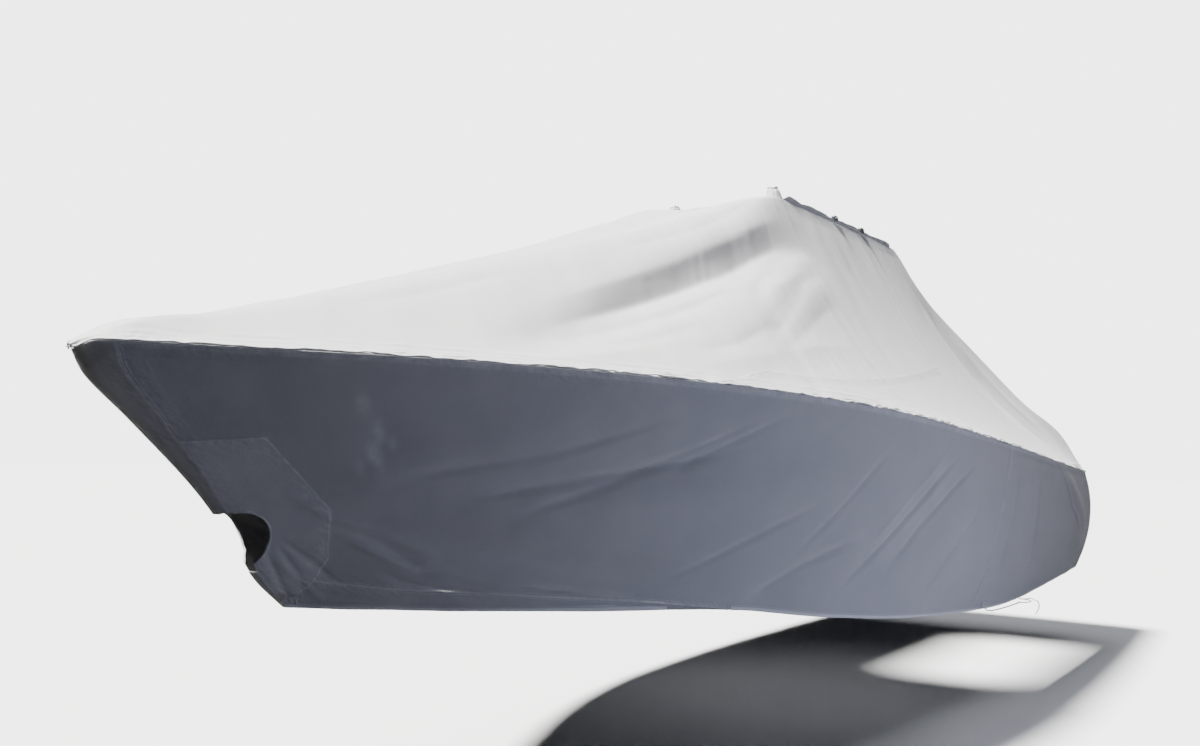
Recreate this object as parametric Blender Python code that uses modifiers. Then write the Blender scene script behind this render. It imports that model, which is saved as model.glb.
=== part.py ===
"""Fitted storage cover for a centre-console boat with a hardtop, as it sits on the boat.

Metres, +Z up. The bow points to -Y and the port side is +X. The origin is the point under the
top, on the centreline just ahead of the neck, where the boat's console and frame hold it up.

The forms are worked out in the boat's own measures: "out" from the centreline, "aft" of the bow
tip, and "up" from the bow tip's sheer. place() turns these into the part's frame.
"""

import math

import bmesh
import bpy
import numpy as np
from mathutils import Matrix, Vector

# The frame's origin, in the boat's measures.
ORIGIN_AFT = 4.30
ORIGIN_UP = 1.262

# Cloth and gaps.
CLOTH = 0.002
DOUBLED = 0.0025
SEAM_GAP = 0.0006
SHEER_GAP = 0.004
TRANSOM_GAP = 0.0025
OVERLAY_GAP = 0.0012

# The sheer, where top and skirt meet: aft, out, up.
SHEER_LINE = (
    (0.00, 0.014, 0.000),
    (0.01, 0.040, 0.000),
    (0.05, 0.084, 0.001),
    (0.19, 0.160, 0.003),
    (0.47, 0.310, 0.002),
    (0.94, 0.553, 0.000),
    (1.88, 0.953, -0.016),
    (2.82, 1.229, -0.048),
    (3.76, 1.394, -0.092),
    (4.70, 1.464, -0.153),
    (6.30, 1.468, -0.271),
    (7.80, 1.440, -0.386),
    (9.18, 1.393, -0.480),
    (9.40, 1.388, -0.494),
)
STERN_AFT = 9.40
CORNER_RADIUS = 0.22
TRANSOM_OUT = 1.388 - CORNER_RADIUS
TRANSOM_CAMBER_UP = 0.054
TRANSOM_CAMBER_AFT = 0.030
LOOP_END = STERN_AFT + TRANSOM_OUT

# The hem: aft, out, up.
HEM_LINE = (
    (0.93, 0.014, -0.988),
    (1.41, 0.290, -1.026),
    (1.88, 0.530, -1.054),
    (2.82, 0.900, -1.120),
    (3.76, 1.150, -1.243),
    (4.70, 1.285, -1.335),
    (5.66, 1.335, -1.397),
    (6.58, 1.352, -1.432),
    (7.50, 1.352, -1.410),
    (9.10, 1.312, -1.374),
    (9.35, 1.305, -1.370),
)
HEM_STERN_AFT = 9.35
HEM_CORNER_RADIUS = 0.25
HEM_TRANSOM_OUT = 1.305 - HEM_CORNER_RADIUS

# How far the skirt stands out of a straight line between sheer and hem: aft, out.
BELLY_LINE = (
    (0.00, 0.000),
    (0.60, -0.012),
    (2.00, -0.030),
    (4.00, 0.005),
    (6.00, 0.040),
    (8.00, 0.075),
    (9.40, 0.085),
)

# How far the stem stands aft of a straight line: share of its height, aft.
STEM_LINE = (
    (0.00, 0.000),
    (0.10, -0.034),
    (0.25, -0.004),
    (0.52, 0.030),
    (0.68, 0.015),
    (0.88, -0.026),
    (1.00, 0.000),
)
STEM_REACH = 0.45

# The shoulder, the ridge that runs from the nose to the neck and from the neck to the stern
# corners: aft, out, up.
SHOULDER_LINE = (
    (0.00, 0.008, 0.002),
    (0.06, 0.044, 0.026),
    (0.12, 0.060, 0.058),
    (0.22, 0.072, 0.094),
    (0.47, 0.097, 0.134),
    (0.84, 0.134, 0.227),
    (1.62, 0.212, 0.448),
    (2.63, 0.313, 0.748),
    (3.61, 0.411, 1.066),
    (4.50, 0.460, 1.320),
    (6.60, 0.460, 1.325),
    (6.90, 0.505, 1.135),
    (7.21, 0.580, 0.925),
    (7.75, 0.747, 0.605),
    (8.48, 1.003, 0.160),
    (9.05, 1.205, -0.125),
    (9.23, 1.250, -0.270),
    (9.32, 1.220, -0.360),
    (9.40, 1.120, -0.489),
)

# Which shoulder point each point of the sheer is tensioned from, and which hem point it drops
# to: sheer aft, shoulder aft, hem aft.
RIB_LINE = (
    (0.00, 0.00, 0.930),
    (0.94, 1.25, 1.480),
    (1.88, 2.35, 2.180),
    (2.82, 3.40, 2.860),
    (4.50, 4.50, 4.200),
    (6.25, 5.80, 5.660),
    (7.80, 6.60, 7.350),
    (9.18, 9.00, 9.090),
    (9.40, 9.40, 9.350),
)
NECK_START = 4.50
JOINING_SEAM = 6.25
NECK_END = 7.80
CORNER_START = STERN_AFT - CORNER_RADIUS

# The top between its ridges: shoulder aft, dip of the middle, sag of the side as a share of its
# drop, and softness of the ridge.
TENSION_LINE = (
    (0.00, 0.000, 0.000, 0.003),
    (0.60, 0.000, 0.015, 0.016),
    (1.60, 0.015, 0.040, 0.055),
    (2.80, 0.035, 0.065, 0.095),
    (3.80, 0.040, 0.090, 0.085),
    (4.30, 0.030, 0.110, 0.030),
    (4.50, 0.020, 0.115, 0.006),
    (6.60, 0.015, 0.120, 0.006),
    (7.20, 0.040, 0.110, 0.022),
    (8.50, 0.050, 0.060, 0.022),
    (9.10, 0.000, 0.020, 0.012),
    (9.40, -0.049, 0.000, 0.003),
)

RIDGE_LIFT = 0.55

# Tension folds of the top: side, start (aft, out), end (aft, out), width, depth. A trough is
# negative. Port is +1 and starboard is -1.
TOP_FOLDS = (
    (+1, 4.55, 0.60, 1.30, 0.72, 0.130, -0.075),
    (+1, 4.75, 0.70, 2.40, 1.00, 0.130, 0.040),
    (+1, 4.75, 0.74, 3.30, 1.22, 0.090, -0.024),
    (+1, 4.40, 0.44, 2.60, 0.30, 0.120, -0.026),
    (+1, 5.00, 0.72, 4.75, 1.34, 0.100, -0.018),
    (+1, 6.90, 0.62, 7.90, 1.10, 0.120, -0.030),
    (-1, 4.62, 0.60, 1.90, 0.52, 0.140, -0.060),
    (-1, 4.75, 0.74, 2.90, 1.10, 0.120, 0.034),
    (-1, 4.80, 0.74, 3.90, 1.28, 0.090, -0.022),
    (-1, 5.40, 0.70, 5.20, 1.34, 0.110, -0.018),
    (-1, 6.90, 0.62, 8.20, 1.14, 0.130, -0.030),
)

# Folds of the skirt: side, start (aft, up), end (aft, up), width, depth.
SKIRT_FOLDS = (
    (+1, 1.30, -0.55, 3.30, -0.30, 0.110, -0.020),
    (+1, 1.55, -0.66, 3.90, -0.46, 0.110, 0.018),
    (+1, 1.00, -0.66, 2.90, -1.06, 0.090, -0.032),
    (+1, 1.15, -0.86, 2.80, -1.18, 0.080, 0.020),
    (+1, 3.00, -1.16, 3.80, -0.76, 0.110, -0.018),
    (+1, 3.70, -1.20, 5.40, -0.38, 0.130, -0.024),
    (+1, 4.40, -1.05, 5.60, -0.62, 0.110, 0.018),
    (+1, 8.05, -0.44, 9.00, -1.10, 0.110, 0.022),
    (-1, 1.20, -0.60, 3.00, -0.36, 0.110, -0.020),
    (-1, 1.10, -0.72, 2.90, -1.08, 0.100, -0.028),
    (-1, 3.40, -1.20, 4.90, -0.45, 0.130, -0.022),
    (-1, 4.60, -1.18, 5.80, -0.55, 0.110, 0.018),
    (-1, 7.80, -0.44, 8.80, -1.15, 0.110, 0.022),
)
FOLD_FADE = 0.10

# Where a fold fades along its length, as shares of it: in over the first pair, out over the last.
FOLD_IN = (-0.10, 0.10)
FOLD_OUT = (0.58, 1.08)

# The strip over the stem: share of the stem's height, half width along the sheer.
STEM_STRIP = ((0.00, 0.086), (0.25, 0.060), (0.50, 0.034), (0.80, 0.018), (1.00, 0.014))
STEM_STRIP_COLUMNS = (0.0, 0.35, 1.0)
STEM_BULGE = 0.005

# The bow-eye cut-out: a round cut whose middle lies a little ahead of the stem.
CUT_AFT = 0.652
CUT_UP = -0.722
CUT_RADIUS = 0.125
CUT_SIDES = 28
PRISM_REACH = 1.6
CUT_TOP_SHARE = 0.605
CUT_FOOT_SHARE = 0.840
CUTTER_LENGTH = 1.2
BINDING_RADIUS = 0.0045
BINDING_GAP = 0.002
BINDING_ANGLES = (104, -40, 17)

# The tapered band at the foot of the skirt: aft along the sheer, share of the skirt's height.
HEM_BAND = ((0.00, 0.175), (0.35, 0.110), (1.00, 0.086), (1.90, 0.046), (2.40, 0.026), (2.90, 0.004))
HEM_BAND_END = 2.90

# The reinforcement patch round the cut-out, in side view: aft, up.
BOW_PATCH = (
    (0.300, -0.342),
    (0.632, -0.315),
    (0.941, -0.592),
    (0.999, -0.788),
    (0.978, -0.880),
    (0.925, -0.955),
    (0.700, -0.990),
)
BOW_PATCH_END = 0.62
BOW_PATCH_INSET = 0.0006
BOW_PATCH_FOOT = 0.975

# The doubler above the sheer, its upper edge in side view: aft, up.
GUNWALE_PATCH = ((2.54, -0.020), (3.00, 0.060), (3.51, 0.060), (4.08, 0.090), (5.20, 0.190), (6.10, 0.290))
GUNWALE_START = 2.45

# The chafe strip above the sheer, in side view: how high its edges stand above the sheer.
CHAFE_START = 3.85
CHAFE_END = 6.02
CHAFE_LOW = 0.016
CHAFE_HIGH = 0.088
GUNWALE_COLUMN = 4

# The welt on the sheer.
WELT_RADIUS = 0.006
WELT_OFFSET = 0.0090
TRANSOM_WELT = (0.0, 1.0, 0.8)
WELT_END_GAP = 0.001

# The neck's cuff, the boots of the front legs, the straps and the buckles.
BAND_FOOT = -0.030
BAND_INSET = 0.006
BAND_CORNER = 0.045
BAND_TOP = (
    (4.50, 0.010),
    (4.56, 0.014),
    (4.66, 0.046),
    (4.85, 0.032),
    (5.05, 0.042),
    (5.40, 0.028),
    (5.75, 0.040),
    (6.10, 0.030),
    (6.45, 0.038),
    (6.60, 0.026),
)
BOOT_ROWS = ((0.0, 0.058), (0.5, 0.048), (1.0, 0.034))
BOOT_HEIGHTS = {"port": 0.100, "starboard": 0.055}
BOOT_LEAN = (-0.10, -0.16)
BOOT_INSET = 0.072
BOOT_SIDES = 16
STRAP_LENGTH = 0.130
STRAP_WIDTH = 0.025
STRAP_THICKNESS = 0.0016
BUCKLE_SIZE = (0.010, 0.050, 0.036)
BUCKLE_AFT = (5.42, 5.93)
STRAP_RISE = 0.029

# The tab at the foot of the stem and the tie at the stern end of the port hem.
DRAW_TAB_SIZE = (0.008, 0.075, 0.050)
DRAW_TAB_PLACE = (0.075, 0.955)
DRAW_TAB_LIFT = 0.007
TIE_TAB_SIZE = (0.003, 0.060, 0.045)
TIE_TAB_PLACE = (6.46, 0.977)
TIE_TAB_LIFT = 0.003
TIE_RADIUS = 0.004
TIE_TURN_RADIUS = 0.036
TIE_PITCH = 0.022
TIE_TURN_DEGREES = (200, 711, 30)
TIE_ROUTE = (
    (1.371, 5.880, -1.405),
    (1.392, 5.845, -1.409),
    (1.430, 5.790, -1.402),
    (1.500, 5.705, -1.377),
    (1.590, 5.610, -1.340),
    (1.670, 5.535, -1.303),
)
TIE_TURN_CENTRE = (1.726, 5.500, -1.290)
TIE_TAIL = ((1.790, 5.466, -1.262), (1.812, 5.476, -1.276), (1.815, 5.486, -1.310), (1.800, 5.490, -1.345))
TIE_POINTS = 52
TIE_KNOT_RADIUS = 0.009
KNOT_GAP = 0.0004

CANVAS = ("canvas", (0.62, 0.62, 0.63), 0.85, 0.0)
CANVAS_DOUBLED = ("canvas_doubled", (0.58, 0.58, 0.60), 0.85, 0.0)
BINDING = ("binding", (0.74, 0.74, 0.74), 0.80, 0.0)
WEBBING = ("webbing", (0.30, 0.31, 0.33), 0.80, 0.0)
BUCKLE_PLASTIC = ("buckle_plastic", (0.02, 0.02, 0.02), 0.45, 0.0)
CORD = ("cord", (0.80, 0.80, 0.78), 0.70, 0.0)


# ---------------------------------------------------------------- lines


def smooth_line(rows, column):
    """A function of the rows' first column, smooth and free of overshoot, giving this column."""
    knots = np.array([row[0] for row in rows], float)
    values = np.array([row[column] for row in rows], float)
    widths = np.diff(knots)
    slopes = np.diff(values) / widths
    tangents = np.concatenate([slopes[:1], np.zeros(len(rows) - 2), slopes[-1:]])
    same_way = slopes[:-1] * slopes[1:] > 0
    total = np.where(same_way, slopes[:-1] + slopes[1:], 1.0)
    tangents[1:-1] = np.where(same_way, 2 * slopes[:-1] * slopes[1:] / total, 0.0)

    def at(place_along):
        here = np.clip(place_along, knots[0], knots[-1])
        i = np.clip(np.searchsorted(knots, here) - 1, 0, len(widths) - 1)
        t = (here - knots[i]) / widths[i]
        rise = t * t * (3 - 2 * t)
        start = t * (1 - t) ** 2 * widths[i] * tangents[i]
        end = t * t * (t - 1) * widths[i] * tangents[i + 1]
        return values[i] * (1 - rise) + values[i + 1] * rise + start + end

    return at


def smooth_step(share):
    share = np.clip(share, 0.0, 1.0)
    return share * share * (3 - 2 * share)


sheer_out = smooth_line(SHEER_LINE, 1)
sheer_up = smooth_line(SHEER_LINE, 2)
hem_out = smooth_line(HEM_LINE, 1)
hem_up = smooth_line(HEM_LINE, 2)
belly_of = smooth_line(BELLY_LINE, 1)
shoulder_out = smooth_line(SHOULDER_LINE, 1)
shoulder_up = smooth_line(SHOULDER_LINE, 2)
shoulder_aft = smooth_line(RIB_LINE, 1)
hem_aft = smooth_line(RIB_LINE, 2)
dip_of = smooth_line(TENSION_LINE, 1)
sag_of = smooth_line(TENSION_LINE, 2)
softness_of = smooth_line(TENSION_LINE, 3)
stem_strip_width = smooth_line(STEM_STRIP, 1)
hem_band_share = smooth_line(HEM_BAND, 1)
stem_offset = smooth_line(STEM_LINE, 1)


def rounded_corner(full_out, aft, stern_aft, radius):
    """The outline's distance out where it turns round the stern corner."""
    past = np.clip(aft - (stern_aft - radius), 0.0, radius)
    return full_out - radius + np.sqrt(radius * radius - past * past)


def sheer_point(along):
    """The sheer as out, aft, up: along is the distance aft, then inboard along the transom."""
    along = np.asarray(along, float)
    aft = np.minimum(along, STERN_AFT)
    side = rounded_corner(sheer_out(aft), aft, STERN_AFT, CORNER_RADIUS)
    out = np.where(along > STERN_AFT, LOOP_END - along, side)
    inboard = np.where(along > STERN_AFT, 1 - (out / TRANSOM_OUT) ** 2, 0.0)
    aft = aft + TRANSOM_CAMBER_AFT * inboard
    up = sheer_up(aft) + TRANSOM_CAMBER_UP * inboard
    return np.stack([out, aft, up], -1)


def hem_point(along):
    """The hem under the sheer point of the same name."""
    along = np.asarray(along, float)
    aft = hem_aft(np.minimum(along, STERN_AFT))
    side = rounded_corner(hem_out(aft), aft, HEM_STERN_AFT, HEM_CORNER_RADIUS)
    across = HEM_TRANSOM_OUT * (LOOP_END - along) / TRANSOM_OUT
    out = np.where(along > STERN_AFT, across, side)
    inboard = np.where(along > STERN_AFT, 1 - (out / HEM_TRANSOM_OUT) ** 2, 0.0)
    up = hem_up(aft)
    aft = aft + TRANSOM_CAMBER_AFT * inboard
    return np.stack([out, aft, up], -1)


# ---------------------------------------------------------------- surfaces


def skirt(along, down):
    """The skirt: along the sheer, and down from the sheer at 0 to the hem at 1."""
    along, down = np.broadcast_arrays(np.asarray(along, float), np.asarray(down, float))
    top = sheer_point(along)
    foot = hem_point(along)
    step = 0.002
    near = np.clip(along, step, LOOP_END - step)
    run = (sheer_point(near + step) - sheer_point(near - step))[..., :2]
    run = run / np.linalg.norm(run, axis=-1, keepdims=True)
    outward = np.stack([run[..., 1], -run[..., 0], np.zeros_like(along)], -1)
    points = top + (foot - top) * down[..., None]
    points = points + outward * (belly_of(along) * 4 * down * (1 - down))[..., None]
    points[..., 1] += stem_offset(down) * (1 - smooth_step(along / STEM_REACH))
    return points


def top(along, across):
    """The top: along the sheer, and across from the shoulder at 0 to the sheer at 1.

    Below 0 it is the flat part between the shoulders, with the centreline at -1.
    """
    along, across = np.broadcast_arrays(np.asarray(along, float), np.asarray(across, float))
    aft = shoulder_aft(along)
    out = shoulder_out(aft)
    up = shoulder_up(aft)
    edge = sheer_point(np.minimum(along, STERN_AFT))
    side = np.clip(across, 0.0, 1.0)
    inboard = 1 + np.minimum(across, 0.0)
    drop = up - edge[..., 2]
    sag = sag_of(aft)
    falling = edge[..., 2] + drop * ((1 - side) - 4 * sag * side * (1 - side))
    slope = drop * (1 + 4 * sag) / np.maximum(edge[..., 0] - out, 0.01)
    falling = falling + slope * out * (1 - inboard)
    crown = 1 - inboard * inboard
    level = up - dip_of(aft) * crown
    soft = softness_of(aft)
    in_neck = (along > NECK_START) & (along < NECK_END) & (across >= 0)
    ridge = np.minimum(level, falling) - soft * np.log1p(np.exp(-np.abs(level - falling) / soft))
    ridge = ridge + RIDGE_LIFT * soft * (1 - np.clip(across, -1.0, 1.0) ** 2) ** 2
    height = np.where(in_neck, falling, ridge)
    camber = TRANSOM_CAMBER_AFT * smooth_step((aft - NECK_END) / (STERN_AFT - NECK_END)) * crown
    return np.stack(
        [
            np.where(across < 0, out * inboard, out + (edge[..., 0] - out) * side),
            aft + (edge[..., 1] - aft) * side + camber,
            height,
        ],
        -1,
    )


def fold_height(points, folds, side, height_column):
    """How far the folds of one side move the cloth along its normal."""
    first = points[..., 1]
    second = points[..., height_column]
    total = np.zeros_like(first)
    for fold_side, start_a, start_b, end_a, end_b, width, depth in folds:
        if fold_side != side:
            continue
        run_a, run_b = end_a - start_a, end_b - start_b
        length_squared = run_a * run_a + run_b * run_b
        share = ((first - start_a) * run_a + (second - start_b) * run_b) / length_squared
        nearest = np.clip(share, 0.0, 1.0)
        away_a = first - start_a - nearest * run_a
        away_b = second - start_b - nearest * run_b
        distance = np.sqrt(away_a * away_a + away_b * away_b)
        coming = smooth_step((share - FOLD_IN[0]) / (FOLD_IN[1] - FOLD_IN[0]))
        going = smooth_step((FOLD_OUT[1] - share) / (FOLD_OUT[1] - FOLD_OUT[0]))
        total += depth * coming * going * np.exp(-((distance / width) ** 2))
    return total


def normal_of(surface, along, second):
    """The surface's outward normal."""
    step = 0.002
    by_along = surface(along + step, second) - surface(along - step, second)
    by_second = surface(along, second + step) - surface(along, second - step)
    normal = np.cross(by_second, by_along)
    return normal / np.maximum(np.linalg.norm(normal, axis=-1, keepdims=True), 1e-12)


def dressed(surface, along, second, side, lift=0.0):
    """The surface with its folds, moved outward by lift."""
    along, second = np.broadcast_arrays(np.asarray(along, float), np.asarray(second, float))
    points = surface(along, second)
    if surface is top:
        beside_neck = np.abs(along - (NECK_START + NECK_END) / 2) < (NECK_END - NECK_START) / 2 + 0.15
        height = fold_height(points, TOP_FOLDS, side, 0)
        height = height * smooth_step(points[..., 0] / FOLD_FADE)
        height = height * np.where(beside_neck, smooth_step(second / FOLD_FADE), 1.0)
        height = height * smooth_step((1 - second) * 6)
    else:
        height = fold_height(points, SKIRT_FOLDS, side, 2)
        height = height * smooth_step(second * 8) * smooth_step(along * 3)
        height = height * smooth_step((STERN_AFT - along) * 3)
    return points + normal_of(surface, along, second) * (height + lift)[..., None]


def place(points):
    """The boat's out, aft and up as the part's x, y and z."""
    return np.asarray(points, float) - np.array([0.0, ORIGIN_AFT, ORIGIN_UP])


# ---------------------------------------------------------------- objects


def clear_scene():
    for old in list(bpy.data.objects):
        bpy.data.objects.remove(old)


def new_collection(name):
    collection = bpy.data.collections.new(name)
    bpy.context.scene.collection.children.link(collection)
    return collection


def material_of(finish):
    name, colour, roughness, metallic = finish
    found = bpy.data.materials.get(name)
    if found:
        return found
    made = bpy.data.materials.new(name)
    made.use_nodes = True
    shader = made.node_tree.nodes["Principled BSDF"]
    shader.inputs["Base Color"].default_value = (*colour, 1.0)
    shader.inputs["Roughness"].default_value = roughness
    shader.inputs["Metallic"].default_value = metallic
    return made


def add_object(name, mesh, finish, collection):
    mesh.materials.append(material_of(finish))
    mesh.shade_smooth()
    mesh.set_sharp_from_angle(angle=math.radians(50))
    made = bpy.data.objects.new(name, mesh)
    collection.objects.link(made)
    return made


def sheet(name, points, finish, collection, keep=None, mirrored=False, thickness=CLOTH, grow=-1.0):
    """A cloth sheet through a grid of points, thickened on one side."""
    points = place(points)
    if mirrored:
        points = points * np.array([-1.0, 1.0, 1.0])
    rows, columns = points.shape[:2]
    shell = bmesh.new()
    corners = {}

    def corner(i, j):
        if (i, j) not in corners:
            corners[i, j] = shell.verts.new(points[i, j])
        return corners[i, j]

    for i in range(rows - 1):
        for j in range(columns - 1):
            if keep is not None and not keep[i][j]:
                continue
            loop = [corner(i, j), corner(i, j + 1), corner(i + 1, j + 1), corner(i + 1, j)]
            shell.faces.new(loop[::-1] if mirrored else loop)
    bmesh.ops.remove_doubles(shell, verts=shell.verts, dist=0.0002)
    bmesh.ops.triangulate(shell, faces=shell.faces, quad_method="FIXED")
    mesh = bpy.data.meshes.new(name)
    shell.to_mesh(mesh)
    shell.free()
    made = add_object(name, mesh, finish, collection)
    solidify = made.modifiers.new("Thickness", "SOLIDIFY")
    solidify.thickness = thickness
    solidify.offset = grow
    return made


def tube(name, points, radius, finish, collection, sides_resolution=1):
    """A round cord through points in the part's frame, with filled ends."""
    curve = bpy.data.curves.new(name, "CURVE")
    curve.dimensions = "3D"
    curve.bevel_depth = radius
    curve.bevel_resolution = sides_resolution
    curve.use_fill_caps = True
    line = curve.splines.new("POLY")
    line.points.add(len(points) - 1)
    for point, (x, y, z) in zip(line.points, points):
        point.co = (x, y, z, 1.0)
    curve.materials.append(material_of(finish))
    made = bpy.data.objects.new(name, curve)
    collection.objects.link(made)
    return made


def rounded_box(name, size, matrix, finish, collection, bevel):
    """A box of this size, its edges rounded, its middle and turn given by the matrix."""
    shape = bmesh.new()
    bmesh.ops.create_cube(shape, size=1.0)
    bmesh.ops.scale(shape, vec=Vector(size), verts=shape.verts)
    bmesh.ops.bevel(shape, geom=shape.edges[:], offset=bevel, segments=1, affect="EDGES")
    bmesh.ops.transform(shape, matrix=matrix, verts=shape.verts)
    mesh = bpy.data.meshes.new(name)
    shape.to_mesh(mesh)
    shape.free()
    return add_object(name, mesh, finish, collection)


def facing(origin, outward, along):
    """The matrix of a piece whose X faces outward and whose Y runs along."""
    x = Vector(outward).normalized()
    z = x.cross(Vector(along)).normalized()
    y = z.cross(x)
    turn = Matrix((x, y, z)).transposed().to_4x4()
    return Matrix.Translation(Vector(origin)) @ turn


def spaced(start, end, steps, power=1.0):
    """Stations from start to end, closer together at the start for a power above 1."""
    return start + (end - start) * np.linspace(0.0, 1.0, steps + 1) ** power


FORWARD_STATIONS = spaced(0.0, NECK_START, 28, 1.5)
NECK_STATIONS = spaced(NECK_START, JOINING_SEAM, 9)
AFT_NECK_STATIONS = spaced(JOINING_SEAM, NECK_END, 7)
QUARTER_STATIONS = spaced(NECK_END, CORNER_START, 8)
CORNER_STATIONS = STERN_AFT - CORNER_RADIUS * (1 - np.sin(np.linspace(0.0, math.pi / 2, 5)))
FLAT_STEPS = 3
SIDE_STEPS = 9
SKIRT_STEPS = 8
SIDE_NAMES = (("port", +1), ("starboard", -1))


def joined(*runs):
    """Runs of stations as one, each shared end once."""
    return np.concatenate([runs[0]] + [run[1:] for run in runs[1:]])


# ---------------------------------------------------------------- top


def across_columns():
    """The top's columns, from the centreline to the sheer."""
    flat = np.linspace(-1.0, 0.0, FLAT_STEPS + 1)
    side = np.linspace(0.0, 1.0, SIDE_STEPS + 1)[1:]
    return np.concatenate([flat, side])


def top_grid(stations, side, lift=0.0):
    """Points of one side of the top, with gaps at the centreline and the sheer."""
    columns = across_columns()
    along = np.repeat(stations[:, None], len(columns), 1)
    across = np.repeat(columns[None, :], len(stations), 0)
    aft = shoulder_aft(stations)
    width = shoulder_out(aft)
    edge = sheer_point(np.minimum(stations, STERN_AFT))
    reach = np.linalg.norm(edge - top(stations, 0.0), axis=-1)
    across[:, 0] = -1 + SEAM_GAP / width
    across[:, -1] = 1 - SHEER_GAP / np.maximum(reach, 0.03)
    return dressed(top, along, across, side, lift=lift)


def neck_mask(stations):
    """Which faces of a top grid are cloth: those in the neck are not."""
    middle = (stations[:-1] + stations[1:]) / 2
    in_neck = (middle > NECK_START) & (middle < NECK_END)
    columns = FLAT_STEPS + SIDE_STEPS
    return [[not (inside and j < FLAT_STEPS) for j in range(columns)] for inside in in_neck]


def make_top(collection):
    stations = joined(FORWARD_STATIONS, NECK_STATIONS)
    stations[0] += SHEER_GAP
    stations[-1] -= SEAM_GAP
    for name, side in SIDE_NAMES:
        sheet(
            f"top_panel_{name}",
            top_grid(stations, side),
            CANVAS,
            collection,
            keep=neck_mask(stations),
            mirrored=side < 0,
        )


def make_aft_panel(collection):
    """The top behind the joining seam, in one piece from side to side."""
    stations = joined(AFT_NECK_STATIONS, QUARTER_STATIONS, CORNER_STATIONS)
    stations[0] += SEAM_GAP
    stations[-1] -= TRANSOM_GAP
    port = top_grid(stations, +1)
    starboard = top_grid(stations, -1) * np.array([-1.0, 1.0, 1.0])
    middle = port[:, :1] * np.array([0.0, 1.0, 1.0])
    points = np.concatenate([starboard[:, :0:-1], middle, port[:, 1:]], 1)
    port_mask = neck_mask(stations)
    keep = [row[::-1] + row for row in port_mask]
    sheet("aft_panel", points, CANVAS, collection, keep=keep)


# ---------------------------------------------------------------- skirt


def side_along(share, down):
    """A side panel's place along the sheer, from the stem strip's edge at 0 to the seam at 1."""
    start = stem_strip_width(down) + 2 * SEAM_GAP
    end = JOINING_SEAM - SEAM_GAP
    return start + (end - start) * share


def side_shares():
    stations = joined(FORWARD_STATIONS, NECK_STATIONS)
    return stations / stations[-1]


def skirt_rows(start, end):
    return np.linspace(start, end, SKIRT_STEPS + 1)


def side_panel_grid(shares, side, lift=0.0):
    """A side panel's points at these shares of its length, down to the hem band."""
    rows = np.linspace(0.0, 1.0, SKIRT_STEPS + 1)[None, :]
    station = shares[:, None] * JOINING_SEAM
    band = np.where(station < HEM_BAND_END, hem_band_share(station) + 2 * SEAM_GAP, 0.0)
    down = SHEER_GAP + (1 - band - SHEER_GAP) * rows
    return dressed(skirt, side_along(shares[:, None], down), down, side, lift=lift)


def hem_band_grid(shares, side, foot=1.0, lift=0.0):
    """A hem band's points at these shares of the side panel's length."""
    rows = np.linspace(0.0, 1.0, 3)[None, :]
    start = 1 - hem_band_share(shares[:, None] * JOINING_SEAM)
    down = start + (foot - start) * rows
    return dressed(skirt, side_along(shares[:, None], down), down, side, lift=lift)


def make_side_panels(collection, cutter):
    for name, side in SIDE_NAMES:
        points = side_panel_grid(side_shares(), side)
        panel = sheet(f"side_panel_{name}", points, CANVAS, collection, mirrored=side < 0)
        combine(panel, cutter, "DIFFERENCE")


def make_hem_bands(collection):
    shares = side_shares()
    shares = shares[shares * JOINING_SEAM < HEM_BAND_END]
    for name, side in SIDE_NAMES:
        points = hem_band_grid(shares, side)
        sheet(f"hem_band_{name}", points, CANVAS, collection, mirrored=side < 0)


def make_quarter_panels(collection):
    stations = joined(AFT_NECK_STATIONS, QUARTER_STATIONS, CORNER_STATIONS)
    stations[0] += SEAM_GAP
    stations[-1] -= SEAM_GAP
    for name, side in SIDE_NAMES:
        down = skirt_rows(SHEER_GAP, 1.0)
        points = dressed(skirt, stations[:, None], down[None, :], side)
        sheet(f"quarter_panel_{name}", points, CANVAS, collection, mirrored=side < 0)


def make_transom_panel(collection):
    half = spaced(STERN_AFT + SEAM_GAP, LOOP_END, 6)
    down = skirt_rows(SHEER_GAP, 1.0)
    port = dressed(skirt, half[:, None], down[None, :], +1)
    starboard = port[-2::-1] * np.array([-1.0, 1.0, 1.0])
    sheet("transom_panel", np.concatenate([port, starboard]), CANVAS, collection)


def stem_row(down):
    """The stem strip's points at one height, from the starboard edge round the stem to port."""
    port = skirt(stem_strip_width(down) * np.array(STEM_STRIP_COLUMNS), down)
    starboard = port[::-1] * np.array([-1.0, 1.0, 1.0])
    middle = port[:1] * np.array([0.0, 1.0, 1.0]) - np.array([0.0, STEM_BULGE, 0.0])
    return np.concatenate([starboard, middle, port])


def make_stem_strips(collection):
    """The strip over the stem, above and below the cut-out, in rows that match the side panels'."""
    band_top = 1 - float(hem_band_share(0.0))
    panel_rows = skirt_rows(SHEER_GAP, band_top - 2 * SEAM_GAP)
    upper = [*panel_rows[panel_rows < CUT_TOP_SHARE - 0.02], CUT_TOP_SHARE]
    lower = [CUT_FOOT_SHARE, (1 + band_top) / 2, 1.0]
    for name, rows in (("upper", upper), ("lower", lower)):
        points = np.array([stem_row(down) for down in rows])
        sheet(f"stem_strip_{name}", points, CANVAS_DOUBLED, collection, thickness=DOUBLED)


# ---------------------------------------------------------------- what is sewn on


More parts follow.
